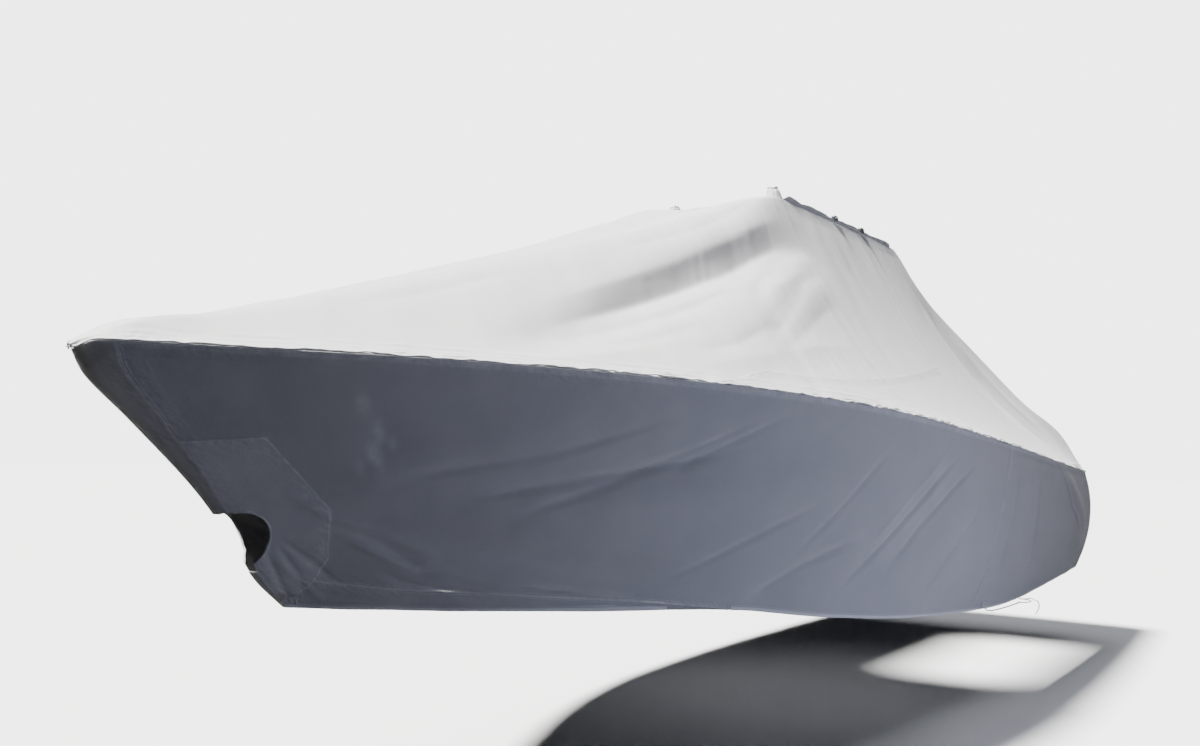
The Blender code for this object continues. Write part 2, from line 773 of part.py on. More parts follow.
def make_bow_patches(collection, cutters, cutter):
    """A patch on each side of the stem, over the side panel and the hem band."""
    outline = side_view_prism("bow_patch_outline", BOW_PATCH, cutters)
    shares = side_shares()
    shares = shares[shares * JOINING_SEAM < BOW_PATCH_END]
    shares[0] += BOW_PATCH_INSET
    for name, side in SIDE_NAMES:
        upper = side_panel_grid(shares, side, lift=OVERLAY_GAP)
        lower = hem_band_grid(shares, side, foot=BOW_PATCH_FOOT, lift=OVERLAY_GAP)
        points = np.concatenate([upper, lower], 1)
        patch = sheet(
            f"bow_patch_{name}",
            points,
            CANVAS_DOUBLED,
            collection,
            mirrored=side < 0,
            grow=1.0,
        )
        combine(patch, outline, "INTERSECT")
        combine(patch, cutter, "DIFFERENCE")


def chafe_outline():
    """The chafe strip's outline in side view, with a round aft end."""
    radius = (CHAFE_HIGH - CHAFE_LOW) / 2
    aft = np.linspace(CHAFE_START, CHAFE_END - radius, 9)
    low = [(a, float(sheer_up(a)) + CHAFE_LOW) for a in aft]
    high = [(a, float(sheer_up(a)) + CHAFE_HIGH) for a in aft[::-1]]
    end = float(sheer_up(CHAFE_END)) + (CHAFE_LOW + CHAFE_HIGH) / 2
    turn = np.radians(np.linspace(-60, 60, 5))
    cap = [(CHAFE_END - radius + radius * math.cos(t), end + radius * math.sin(t)) for t in turn]
    return low + cap + high


def make_gunwale_pieces(collection, cutters):
    """The doubler above the sheer and the chafe strip on it."""
    below_sheer = [(aft, -1.0) for aft in (GUNWALE_PATCH[-1][0] + 0.2, GUNWALE_START)]
    last = (GUNWALE_PATCH[-1][0] + 0.2, GUNWALE_PATCH[-1][1] + 0.02)
    patch_outline = [(GUNWALE_START, -0.030), *GUNWALE_PATCH, last, *below_sheer]
    pieces = (
        ("gunwale_patch", patch_outline, OVERLAY_GAP, GUNWALE_START, JOINING_SEAM, CANVAS),
        ("chafe_strip", chafe_outline(), 2 * OVERLAY_GAP + CLOTH, CHAFE_START, CHAFE_END, CANVAS_DOUBLED),
    )
    stations = joined(FORWARD_STATIONS, NECK_STATIONS)
    for piece, points, lift, start, end, finish in pieces:
        outline = side_view_prism(f"{piece}_outline", points, cutters)
        first = np.searchsorted(stations, start - 0.25)
        run = stations[first : np.searchsorted(stations, end + 0.40)]
        for name, side in SIDE_NAMES:
            grid = top_grid(run, side, lift=lift)[:, FLAT_STEPS + GUNWALE_COLUMN :]
            strip = sheet(f"{piece}_{name}", grid, finish, collection, mirrored=side < 0, grow=1.0)
            combine(strip, outline, "INTERSECT")


def make_welts(collection):
    """The welt that covers the seam between top and skirt."""
    stations = joined(
        np.array([0.0, WELT_RADIUS]),
        np.array([WELT_RADIUS, FORWARD_STATIONS[1]]),
        FORWARD_STATIONS[1:],
        NECK_STATIONS,
        AFT_NECK_STATIONS,
        QUARTER_STATIONS,
        CORNER_STATIONS,
        spaced(STERN_AFT, LOOP_END - WELT_END_GAP, 5),
    )
    edge = sheer_point(stations)
    outward = normal_of(skirt, stations, 0.02) + normal_of(top, np.minimum(stations, STERN_AFT), 0.97)
    outward[stations > STERN_AFT] = TRANSOM_WELT
    outward /= np.linalg.norm(outward, axis=-1, keepdims=True)
    route = edge + outward * WELT_OFFSET
    route[0] = route[0] * np.array([0.0, 1.0, 1.0]) + np.array([WELT_RADIUS, 0.0, 0.0])
    nose = route[:1] - np.array([[WELT_RADIUS - OVERLAY_GAP, 0.0, 0.0]])
    route = place(np.concatenate([nose, route]))
    for name, side in SIDE_NAMES:
        points = route * np.array([side, 1.0, 1.0])
        tube(f"sheer_welt_{name}", points, WELT_RADIUS, BINDING, collection)


def find_on_skirt(aft, up):
    """The skirt's along and down at this place in side view."""
    along, down = 0.2, 0.7
    step = 1e-4
    for _ in range(12):
        here = skirt(along, down)[1:]
        by_along = (skirt(along + step, down)[1:] - here) / step
        by_down = (skirt(along, down + step)[1:] - here) / step
        change = np.linalg.solve(np.stack([by_along, by_down], 1), np.array([aft, up]) - here)
        along = float(np.clip(along + change[0], 0.0, STERN_AFT))
        down = float(np.clip(down + change[1], 0.0, 1.0))
    return along, down


def make_bindings(collection):
    """The binding round the cut-out, on each side from the stem and back to it."""
    radius = CUT_RADIUS + BINDING_GAP
    lift = 2 * OVERLAY_GAP + CLOTH + DOUBLED / 3 + BINDING_RADIUS
    first, last, count = BINDING_ANGLES
    for name, side in SIDE_NAMES:
        route = []
        for angle in np.radians(np.linspace(first, last, count)):
            aft = CUT_AFT + radius * math.cos(angle)
            up = CUT_UP + radius * math.sin(angle)
            along, down = find_on_skirt(aft, up)
            route.append(dressed(skirt, along, down, side, lift=lift))
        points = place(route) * np.array([side, 1.0, 1.0])
        tube(f"cutout_binding_{name}", points, BINDING_RADIUS, BINDING, collection)


# ---------------------------------------------------------------- neck


def neck_loop(inset, steps_per_corner=4):
    """The neck's outline from above as out and aft, anticlockwise from the port side's front."""
    half = shoulder_out(NECK_START + 0.01) - inset
    front = NECK_START + inset
    back = shoulder_aft(NECK_END) - inset
    corners = (
        (half - BAND_CORNER, back - BAND_CORNER, 0.0),
        (-half + BAND_CORNER, back - BAND_CORNER, 90.0),
        (-half + BAND_CORNER, front + BAND_CORNER, 180.0),
        (half - BAND_CORNER, front + BAND_CORNER, 270.0),
    )
    points = []
    for out, aft, start in corners:
        for turn in np.linspace(start, start + 90.0, steps_per_corner + 1):
            angle = math.radians(turn)
            points.append((out + BAND_CORNER * math.cos(angle), aft + BAND_CORNER * math.sin(angle)))
    return points


def with_middles(points, longest):
    """The closed outline with its long sides split into equal steps."""
    split = []
    for start, end in zip(points, points[1:] + points[:1]):
        steps = max(1, math.ceil(math.dist(start, end) / longest))
        for k in range(steps):
            share = k / steps
            split.append(tuple(a + (b - a) * share for a, b in zip(start, end)))
    return split


def make_collar_band(collection):
    """The cuff inside the neck's edge: low across the front, higher along the sides."""
    outline = np.array(with_middles(neck_loop(BAND_INSET), 0.20))
    outline = np.concatenate([outline, outline[:1]])
    out, aft = outline[:, 0], outline[:, 1]
    base = shoulder_up(aft)
    foot = np.stack([out, aft, base + BAND_FOOT], -1)
    head = np.stack([out, aft, base + smooth_line(BAND_TOP, 1)(aft)], -1)
    points = np.stack([foot, (foot + head) / 2, head], 1)
    sheet("collar_band", points, CANVAS_DOUBLED, collection, thickness=DOUBLED, grow=1.0)


def make_leg_boots(collection):
    """A tapered sleeve inside each front corner of the neck, open at both ends."""
    turns = 2 * math.pi * (np.arange(BOOT_SIDES + 1) % BOOT_SIDES) / BOOT_SIDES
    ring = np.stack([np.cos(turns), np.sin(turns), np.zeros_like(turns)], -1)
    lean = np.array([*BOOT_LEAN, 1.0])
    for name, side in SIDE_NAMES:
        out = shoulder_out(NECK_START) - BOOT_INSET
        foot = np.array([out, NECK_START + BOOT_INSET, shoulder_up(NECK_START) - 0.005])
        height = BOOT_HEIGHTS[name]
        rows = [foot + ring * radius + lean * share * height for share, radius in BOOT_ROWS[::-1]]
        sheet(f"leg_boot_{name}", np.array(rows), CANVAS, collection, mirrored=side < 0)


def make_straps(collection):
    """Webbing on the neck's cuff with a buckle on each strap."""
    out = shoulder_out(NECK_START + 0.01) - BAND_INSET + DOUBLED + OVERLAY_GAP
    for name, side in SIDE_NAMES:
        for number, aft in enumerate(BUCKLE_AFT, 1):
            up = float(shoulder_up(aft)) + STRAP_RISE
            strap_at = place((out + STRAP_THICKNESS / 2, aft, up)) * np.array([side, 1.0, 1.0])
            buckle_out = out + STRAP_THICKNESS + SEAM_GAP + BUCKLE_SIZE[0] / 2
            buckle_at = place((buckle_out, aft, up)) * np.array([side, 1.0, 1.0])
            outward, along = (side, 0.0, 0.0), (0.0, 1.0, 0.0)
            rounded_box(
                f"collar_strap_{name}_{number}",
                (STRAP_THICKNESS, STRAP_LENGTH, STRAP_WIDTH),
                facing(strap_at, outward, along),
                WEBBING,
                collection,
                bevel=STRAP_THICKNESS * 0.3,
            )
            rounded_box(
                f"collar_buckle_{name}_{number}",
                BUCKLE_SIZE,
                facing(buckle_at, outward, along),
                BUCKLE_PLASTIC,
                collection,
                bevel=0.003,
            )


# ---------------------------------------------------------------- tabs and tie


def on_skirt_frame(along, down, lift, side=+1):
    """A matrix on the skirt: X outward, Y aft along the cloth."""
    here = place(dressed(skirt, along, down, side, lift=lift))
    aft = place(dressed(skirt, along + 0.03, down, side, lift=lift))
    below = place(dressed(skirt, along, down + 0.02, side, lift=lift))
    run = Vector(aft) - Vector(here)
    fall = Vector(below) - Vector(here)
    outward = fall.cross(run)
    return facing(here, outward, run)


def make_draw_tab(collection):
    """The small gathered tab at the foot of the stem."""
    matrix = on_skirt_frame(*DRAW_TAB_PLACE, DRAW_TAB_LIFT + DRAW_TAB_SIZE[0] / 2)
    rounded_box("stem_draw_tab", DRAW_TAB_SIZE, matrix, CANVAS_DOUBLED, collection, bevel=0.003)


def smooth_route(points, count):
    """Evenly spaced points on a smooth curve through these."""
    points = np.array(points, float)
    padded = np.concatenate([[2 * points[0] - points[1]], points, [2 * points[-1] - points[-2]]])
    fine = []
    for p0, p1, p2, p3 in zip(padded, padded[1:], padded[2:], padded[3:]):
        for t in np.linspace(0.0, 1.0, 24, endpoint=False):
            fine.append(
                0.5
                * (
                    2 * p1
                    + (p2 - p0) * t
                    + (2 * p0 - 5 * p1 + 4 * p2 - p3) * t**2
                    + (3 * p1 - p0 - 3 * p2 + p3) * t**3
                )
            )
    fine = np.array(fine + [points[-1]])
    lengths = np.concatenate([[0.0], np.cumsum(np.linalg.norm(np.diff(fine, axis=0), axis=1))])
    even = np.linspace(0.0, lengths[-1], count)
    return np.stack([np.interp(even, lengths, fine[:, axis]) for axis in range(3)], 1)


def tie_route():
    """The tie's line: from the hem to where it turns round its anchor, and its free end."""
    turns = []
    x, y, z = TIE_TURN_CENTRE
    first, last, step = TIE_TURN_DEGREES
    for degrees in range(first, last, step):
        angle = math.radians(degrees)
        rise = TIE_PITCH * (degrees - first) / 360
        across, along = TIE_TURN_RADIUS * math.cos(angle), TIE_TURN_RADIUS * math.sin(angle)
        turns.append((x + across, y + along, z + rise))
    return [*TIE_ROUTE, *turns, *TIE_TAIL]


def make_tie(collection):
    route = place(smooth_route(tie_route(), TIE_POINTS))
    tube("tie_cord", route, TIE_RADIUS, CORD, collection, sides_resolution=2)
    for name, end, before in (("tie_hitch", route[0], route[1]), ("tie_knot", route[-1], route[-2])):
        outward = (Vector(end) - Vector(before)).normalized()
        middle = Vector(end) + outward * (TIE_KNOT_RADIUS + KNOT_GAP)
        shape = bmesh.new()
        bmesh.ops.create_uvsphere(shape, u_segments=10, v_segments=6, radius=TIE_KNOT_RADIUS)
        bmesh.ops.translate(shape, vec=middle, verts=shape.verts)
        mesh = bpy.data.meshes.new(name)
        shape.to_mesh(mesh)
        shape.free()
        add_object(name, mesh, CORD, collection)


def make_tie_tab(collection):
    """The sewn tab on the hem that the tie is hitched to."""
    matrix = on_skirt_frame(*TIE_TAB_PLACE, TIE_TAB_LIFT + TIE_TAB_SIZE[0] / 2)
    rounded_box("tie_tab", TIE_TAB_SIZE, matrix, CANVAS_DOUBLED, collection, bevel=0.001)


# ---------------------------------------------------------------- cut-out


def make_cutter(collection):
    """A round bar across the bow that cuts the bow-eye opening."""
    shape = bmesh.new()
    bmesh.ops.create_cone(
        shape,
        cap_ends=True,
        segments=CUT_SIDES,
        radius1=CUT_RADIUS,
        radius2=CUT_RADIUS,
        depth=CUTTER_LENGTH,
        matrix=Matrix.Rotation(math.radians(90), 4, "Y"),
    )
    mesh = bpy.data.meshes.new("cutout_cutter")
    shape.to_mesh(mesh)
    shape.free()
    cutter = bpy.data.objects.new("cutout_cutter", mesh)
    collection.objects.link(cutter)
    cutter.location = place((0.0, CUT_AFT, CUT_UP))
    cutter.hide_render = True
    cutter.display_type = "WIRE"
    return cutter


def side_view_prism(name, outline, collection):
    """A prism across the whole boat with this outline in side view: aft, up."""
    shape = bmesh.new()
    corners = [shape.verts.new(place((-PRISM_REACH, aft, up))) for aft, up in outline]
    face = shape.faces.new(corners)
    grown = bmesh.ops.extrude_face_region(shape, geom=[face])
    moved = [item for item in grown["geom"] if isinstance(item, bmesh.types.BMVert)]
    bmesh.ops.translate(shape, vec=(2 * PRISM_REACH, 0.0, 0.0), verts=moved)
    bmesh.ops.recalc_face_normals(shape, faces=shape.faces)
    mesh = bpy.data.meshes.new(name)
    shape.to_mesh(mesh)
    shape.free()
    prism = bpy.data.objects.new(name, mesh)
    collection.objects.link(prism)
    prism.hide_render = True
    prism.display_type = "WIRE"
    return prism


def combine(piece, other, operation):
    boolean = piece.modifiers.new(operation.title(), "BOOLEAN")
    boolean.operation = operation
    boolean.solver = "EXACT"
    boolean.object = other


def main():
    clear_scene()
    cover = new_collection("boat_cover")
    cutters = new_collection("cutters")
    cutter = make_cutter(cutters)
    make_top(cover)
    make_aft_panel(cover)
    make_side_panels(cover, cutter)
    make_hem_bands(cover)
    make_quarter_panels(cover)
    make_transom_panel(cover)
    make_stem_strips(cover)
    make_bow_patches(cover, cutters, cutter)
    make_gunwale_pieces(cover, cutters)
    make_welts(cover)
    make_bindings(cover)
    make_collar_band(cover)
    make_leg_boots(cover)
    make_straps(cover)
    make_draw_tab(cover)
    make_tie_tab(cover)
    make_tie(cover)


main()
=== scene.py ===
"""Looks of a fitted canvas storage cover for a centre-console boat, as it sits on the boat.

Metres, +Z up. The bow points to -Y and the port side is +X. The cloth's forms are worked out in
the boat's own measures: "out" from the centreline, "aft" of the bow tip, and "up" from the bow
tip's sheer. BoatLines.place turns them into the frame that every piece is built in.
"""

import logging
import math
from collections.abc import Callable, Sequence
from dataclasses import dataclass, field
from enum import Enum

import bpy
import numpy as np
from mathutils import Matrix, Vector


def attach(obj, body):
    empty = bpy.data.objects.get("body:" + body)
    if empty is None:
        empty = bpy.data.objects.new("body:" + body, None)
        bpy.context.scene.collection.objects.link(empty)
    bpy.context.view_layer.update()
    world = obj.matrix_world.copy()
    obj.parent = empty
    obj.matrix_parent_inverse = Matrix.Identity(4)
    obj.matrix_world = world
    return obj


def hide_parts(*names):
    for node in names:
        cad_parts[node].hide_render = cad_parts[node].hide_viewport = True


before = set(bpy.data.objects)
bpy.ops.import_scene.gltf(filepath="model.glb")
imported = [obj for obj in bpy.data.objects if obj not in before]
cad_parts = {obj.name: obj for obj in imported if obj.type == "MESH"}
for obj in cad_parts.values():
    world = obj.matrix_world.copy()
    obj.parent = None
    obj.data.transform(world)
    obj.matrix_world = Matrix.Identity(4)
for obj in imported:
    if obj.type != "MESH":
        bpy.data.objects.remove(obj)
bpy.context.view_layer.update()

LOG = logging.getLogger("boat_cover")
Array = np.ndarray
Surface = Callable[[Array, Array], Array]
Places = tuple[tuple[float, float], ...]
Rows = tuple[tuple[float, ...], ...]
Triple = tuple[float, float, float]
Piece = bpy.types.Object
Socket = bpy.types.NodeSocket
Material = bpy.types.Material


class Side(Enum):
    """The two sides of the boat, by the sign of their distance out."""

    PORT = 1
    STARBOARD = -1

    @property
    def word(self) -> str:
        """The side's word in a piece's name."""
        return self.name.lower()

    def turned(self, points: Array) -> Array:
        """Points of the port side, moved to this side."""
        return points * np.array([self.value, 1.0, 1.0])


class Held(Enum):
    """How a sheet of cloth is held."""

    STRETCHED = "stretched"
    HUNG = "hung"
    GATHERED = "gathered"


# ---------------------------------------------------------------- numbers


FAR = 9.0  # stands for the distance to an edge or a hem where there is none near
ON_CENTRELINE = np.array([0.0, 1.0, 1.0])  # times a point, moves it to the centreline


def smooth_step(share: Array | float) -> Array:
    """A share from 0 to 1, eased at both ends."""
    share = np.clip(share, 0.0, 1.0)
    return share * share * (3 - 2 * share)


def bell(distance: Array, width: float | Array) -> Array:
    """A soft hump of height 1, this wide."""
    return np.exp(-((distance / width) ** 2))


class SmoothLine:
    """A smooth line through a table's rows, without overshoot."""

    def __init__(self, rows: Rows, column: int) -> None:
        """Reads one column of the table.

        Args:
            rows: the table, its first column rising.
            column: the column that the line gives.
        """
        self.knots = np.array([row[0] for row in rows], float)
        self.values = np.array([row[column] for row in rows], float)
        self.widths = np.diff(self.knots)
        slopes = np.diff(self.values) / self.widths
        same_way = slopes[:-1] * slopes[1:] > 0
        total = np.where(same_way, slopes[:-1] + slopes[1:], 1.0)
        inner = np.where(same_way, 2 * slopes[:-1] * slopes[1:] / total, 0.0)
        self.tangents = np.concatenate([slopes[:1], inner, slopes[-1:]])

    def __call__(self, place: Array | float) -> Array:
        """The column's value here.

        Args:
            place: where along the first column.

        Returns:
            The value, held at the ends.
        """
        here = np.clip(place, self.knots[0], self.knots[-1])
        i = np.clip(np.searchsorted(self.knots, here) - 1, 0, len(self.widths) - 1)
        t = (here - self.knots[i]) / self.widths[i]
        rise = t * t * (3 - 2 * t)
        start = t * (1 - t) ** 2 * self.widths[i] * self.tangents[i]
        end = t * t * (t - 1) * self.widths[i] * self.tangents[i + 1]
        return self.values[i] * (1 - rise) + self.values[i + 1] * rise + start + end


def unit(vectors: Array) -> Array:
    """The vectors at length 1."""
    return vectors / np.maximum(np.linalg.norm(vectors, axis=-1, keepdims=True), 1e-12)


def running_length(points: Array, axis: int) -> Array:
    """The distance along each row or column of a grid of points.

    Args:
        points: the grid, its last axis x, y and z.
        axis: 0 or 1, the way to go.

    Returns:
        The distance from the first row or column at every point.
    """
    steps = np.linalg.norm(np.diff(points, axis=axis), axis=-1)
    start = np.zeros_like(np.take(steps, [0], axis=axis))
    return np.concatenate([start, np.cumsum(steps, axis=axis)], axis=axis)


def evenly(points: Array, count: int) -> Array:
    """This many points, evenly spaced along a line of points.

    Args:
        points: the line's points.
        count: how many are given back.

    Returns:
        The new points.
    """
    lengths = running_length(points, 0)
    even = np.linspace(0.0, lengths[-1], count)
    return np.stack([np.interp(even, lengths, column) for column in points.T], 1)


def graded(width: Array, count: int, first: Sequence[float] = (), last: Sequence[float] = ()) -> Array:
    """Distances across each row: even steps, with fine ones beside the edges.

    Args:
        width: each row's width.
        count: how many even steps lie between the fine ones.
        first: distances of the fine places from the first edge.
        last: distances of the fine places from the last edge.

    Returns:
        The distances, a row for each width.
    """
    width = np.asarray(width, float).reshape(-1, 1)
    start = np.array([0.0, *first])
    end = np.array([*reversed(last), 0.0])
    fine = max(start[-1] + end[0], 1e-6)
    share = np.minimum(1.0, width / (3 * fine))
    low = start * share
    high = width - end * share
    middle = np.linspace(0.0, 1.0, count + 1)[1:-1]
    between = low[:, -1:] + (high[:, :1] - low[:, -1:]) * middle
    return np.concatenate([low, between, high], 1)


def joined(*runs: Array) -> Array:
    """Runs of stations as one, each shared end once."""
    return np.concatenate([runs[0]] + [run[1:] for run in runs[1:]])


@dataclass(frozen=True)
class Ripples:
    """Uneven soft waves: random heights on a lattice, joined smoothly."""

    seed: int
    cell_first: float
    cell_second: float
    height: float
    turn: float = 0.0
    size: int = 128

    def at(self, first: Array, second: Array) -> Array:
        """The height at each place.

        Args:
            first: the place along the first way, in metres.
            second: the place along the second way, in metres.

        Returns:
            Heights up to the field's height either way.
        """
        lattice = np.random.default_rng(self.seed).uniform(-1.0, 1.0, (self.size, self.size))
        cosine, sine = math.cos(math.radians(self.turn)), math.sin(math.radians(self.turn))
        u = (first * cosine + second * sine) / self.cell_first
        v = (second * cosine - first * sine) / self.cell_second
        i, j = np.floor(u).astype(int), np.floor(v).astype(int)
        s, t = smooth_step(u - i), smooth_step(v - j)
        near, far = i % self.size, (i + 1) % self.size
        low, high = j % self.size, (j + 1) % self.size
        start = lattice[near, low] * (1 - t) + lattice[near, high] * t
        end = lattice[far, low] * (1 - t) + lattice[far, high] * t
        return self.height * (start * (1 - s) + end * s)


@dataclass(frozen=True)
class Crease:
    """A crease or a soft ridge along a line of places on the cloth. A trough has a negative depth."""

    line: Places
    width: float
    depth: float
    bank: float = 1.0
    round_off: float = 0.006

    def height(self, first: Array, second: Array) -> Array:
        """How far the crease moves the cloth.

        Args:
            first: distance aft of each point.
            second: distance out or up of each point.

        Returns:
            The height at each point; its second bank is `bank` times as wide.
        """
        nearest = np.full(first.shape, np.inf)
        signed = np.zeros(first.shape)
        place = np.zeros(first.shape)
        lengths = [math.dist(a, b) for a, b in zip(self.line, self.line[1:])]
        total, gone = sum(lengths), 0.0
        for (a, b), (c, d), length in zip(self.line, self.line[1:], lengths):
            run, rise = (c - a) / length, (d - b) / length
            along = np.clip((first - a) * run + (second - b) * rise, 0.0, length)
            off_first, off_second = first - a - along * run, second - b - along * rise
            distance = np.hypot(off_first, off_second)
            closer = distance < nearest
            nearest = np.where(closer, distance, nearest)
            signed = np.where(closer, run * off_second - rise * off_first, signed)
            place = np.where(closer, (gone + along) / total, place)
            gone += length
        width = self.width * np.where(signed > 0, self.bank, 1.0)
        fade = smooth_step(place / 0.22) * smooth_step((1 - place) / 0.35)
        sharp = np.exp(-(np.sqrt(nearest**2 + self.round_off**2) - self.round_off) / (0.8 * width))
        return self.depth * fade * (0.4 * bell(nearest, width) + 0.6 * sharp)

    def shifted(self, aft: float, second: float, share: float) -> "Crease":
        """The same crease a little away, its depth times share."""
        line = tuple((a + aft, b + second) for a, b in self.line)
        return Crease(line, self.width, self.depth * share, self.bank)


# ---------------------------------------------------------------- the boat's lines


@dataclass
class BoatLines:
    """The lines that the cover is cut to, and its surfaces between them."""

    origin_aft: float = 4.30
    origin_up: float = 1.262
    sheer: Rows = (
        (0.00, 0.014, 0.000),
        (0.01, 0.040, 0.000),
        (0.05, 0.084, 0.001),
        (0.19, 0.160, 0.003),
        (0.47, 0.310, 0.002),
        (0.94, 0.553, 0.000),
        (1.88, 0.953, -0.016),
        (2.82, 1.229, -0.048),
        (3.76, 1.394, -0.092),
        (4.70, 1.464, -0.153),
        (6.30, 1.468, -0.271),
        (7.80, 1.440, -0.386),
        (9.18, 1.393, -0.480),
        (9.40, 1.388, -0.494),
    )
    stern_aft: float = 9.40
    corner_radius: float = 0.22
    transom_camber_up: float = 0.054
    transom_camber_aft: float = 0.030
    hem: Rows = (
        (0.93, 0.014, -0.988),
        (1.41, 0.290, -1.026),
        (1.88, 0.530, -1.054),
        (2.82, 0.900, -1.120),
        (3.76, 1.150, -1.243),
        (4.70, 1.285, -1.335),
        (5.66, 1.335, -1.397),
        (6.58, 1.352, -1.432),
        (7.50, 1.352, -1.410),
        (9.10, 1.312, -1.374),
        (9.35, 1.305, -1.370),
    )
    hem_stern_aft: float = 9.35
    hem_corner_radius: float = 0.25
    belly: Rows = (
        (0.00, 0.000),
        (0.60, -0.012),
        (2.00, -0.030),
        (4.00, 0.005),
        (6.00, 0.040),
        (8.00, 0.075),
        (9.40, 0.085),
    )
    stem: Rows = (
        (0.00, 0.000),
        (0.10, -0.034),
        (0.25, -0.004),
        (0.52, 0.030),
        (0.68, 0.015),
        (0.88, -0.026),
        (1.00, 0.000),
    )
    stem_reach: float = 0.45
    shoulder: Rows = (
        (0.00, 0.008, 0.002),
        (0.06, 0.044, 0.026),
        (0.12, 0.060, 0.058),
        (0.22, 0.072, 0.094),
        (0.47, 0.097, 0.134),
        (0.84, 0.134, 0.227),
        (1.62, 0.212, 0.448),
        (2.63, 0.313, 0.748),
        (3.61, 0.411, 1.066),
        (4.50, 0.460, 1.320),
        (6.60, 0.460, 1.325),
        (6.90, 0.505, 1.135),
        (7.21, 0.580, 0.925),
        (7.75, 0.747, 0.605),
        (8.48, 1.003, 0.160),
        (9.05, 1.205, -0.125),
        (9.23, 1.250, -0.270),
        (9.32, 1.220, -0.360),
        (9.40, 1.120, -0.489),
    )
    ribs: Rows = (
        (0.00, 0.00, 0.930),
        (0.94, 1.25, 1.480),
        (1.88, 2.35, 2.180),
        (2.82, 3.40, 2.860),
        (4.50, 4.50, 4.200),
        (6.25, 5.80, 5.660),
        (7.80, 6.60, 7.350),
        (9.18, 9.00, 9.090),
        (9.40, 9.40, 9.350),
    )
    neck_start: float = 4.50
    joining_seam: float = 6.25
    neck_end: float = 7.80
    tension: Rows = (
        (0.00, 0.000, 0.000, 0.003),
        (0.60, 0.000, 0.015, 0.016),
        (1.60, 0.015, 0.040, 0.055),
        (2.80, 0.035, 0.065, 0.095),
        (3.80, 0.040, 0.090, 0.085),
        (4.30, 0.030, 0.110, 0.030),
        (4.50, 0.020, 0.115, 0.006),
        (6.60, 0.015, 0.120, 0.006),
        (7.20, 0.040, 0.110, 0.022),
        (8.50, 0.050, 0.060, 0.022),
        (9.10, 0.000, 0.020, 0.012),
        (9.40, -0.049, 0.000, 0.003),
    )
    ridge_lift: float = 0.55
    seam_gap: float = 0.0006
    sheer_gap: float = 0.004
    transom_out: float = field(init=False)
    hem_transom_out: float = field(init=False)
    loop_end: float = field(init=False)

    def __post_init__(self) -> None:
        """Makes the smooth lines from the tables."""
        self.transom_out = self.sheer[-1][1] - self.corner_radius
        self.hem_transom_out = self.hem[-1][1] - self.hem_corner_radius
        self.loop_end = self.stern_aft + self.transom_out
        self.sheer_out, self.sheer_up = SmoothLine(self.sheer, 1), SmoothLine(self.sheer, 2)
        self.hem_out, self.hem_up = SmoothLine(self.hem, 1), SmoothLine(self.hem, 2)
        self.belly_of, self.stem_offset = SmoothLine(self.belly, 1), SmoothLine(self.stem, 1)
        self.shoulder_out = SmoothLine(self.shoulder, 1)
        self.shoulder_up = SmoothLine(self.shoulder, 2)
        self.shoulder_aft, self.hem_aft = SmoothLine(self.ribs, 1), SmoothLine(self.ribs, 2)
        self.dip_of, self.sag_of = SmoothLine(self.tension, 1), SmoothLine(self.tension, 2)
        self.softness_of = SmoothLine(self.tension, 3)

    def place(self, points: Array) -> Array:
        """The boat's out, aft and up as x, y and z."""
        return np.asarray(points, float) - np.array([0.0, self.origin_aft, self.origin_up])

    @staticmethod
    def rounded_corner(full_out: Array, aft: Array, stern_aft: float, radius: float) -> Array:
        """The outline's distance out, from its distance out without the round stern corner."""
        past = np.clip(aft - (stern_aft - radius), 0.0, radius)
        return full_out - radius + np.sqrt(radius * radius - past * past)

    def corner_stations(self, count: int) -> Array:
        """Stations along the sheer round the stern corner, closer together near the transom."""
        turn = np.sin(np.linspace(0.0, math.pi / 2, count))
        return self.stern_aft - self.corner_radius * (1 - turn)

    def sheer_point(self, along: Array) -> Array:
        """The sheer: along is the distance aft, then inboard along the transom.

        Args:
            along: the place along the sheer.

        Returns:
            Out, aft and up.
        """
        along = np.asarray(along, float)
        aft = np.minimum(along, self.stern_aft)
        side = self.rounded_corner(self.sheer_out(aft), aft, self.stern_aft, self.corner_radius)
        out = np.where(along > self.stern_aft, self.loop_end - along, side)
        inboard = np.where(along > self.stern_aft, 1 - (out / self.transom_out) ** 2, 0.0)
        aft = aft + self.transom_camber_aft * inboard
        up = self.sheer_up(aft) + self.transom_camber_up * inboard
        nose = bell(along, 0.020)
        return np.stack([out, aft + 0.003 * nose, up - 0.022 * nose], -1)

    def hem_point(self, along: Array) -> Array:
        """The hem under a place of the sheer.

        Args:
            along: the place along the sheer.

        Returns:
            Out, aft and up.
        """
        along = np.asarray(along, float)
        aft = self.hem_aft(np.minimum(along, self.stern_aft))
        side = self.rounded_corner(self.hem_out(aft), aft, self.hem_stern_aft, self.hem_corner_radius)
        across = self.hem_transom_out * (self.loop_end - along) / self.transom_out
        out = np.where(along > self.stern_aft, across, side)
        inboard = np.where(along > self.stern_aft, 1 - (out / self.hem_transom_out) ** 2, 0.0)
        up = self.hem_up(aft)
        aft = aft + self.transom_camber_aft * inboard
        return np.stack([out, aft, up], -1)

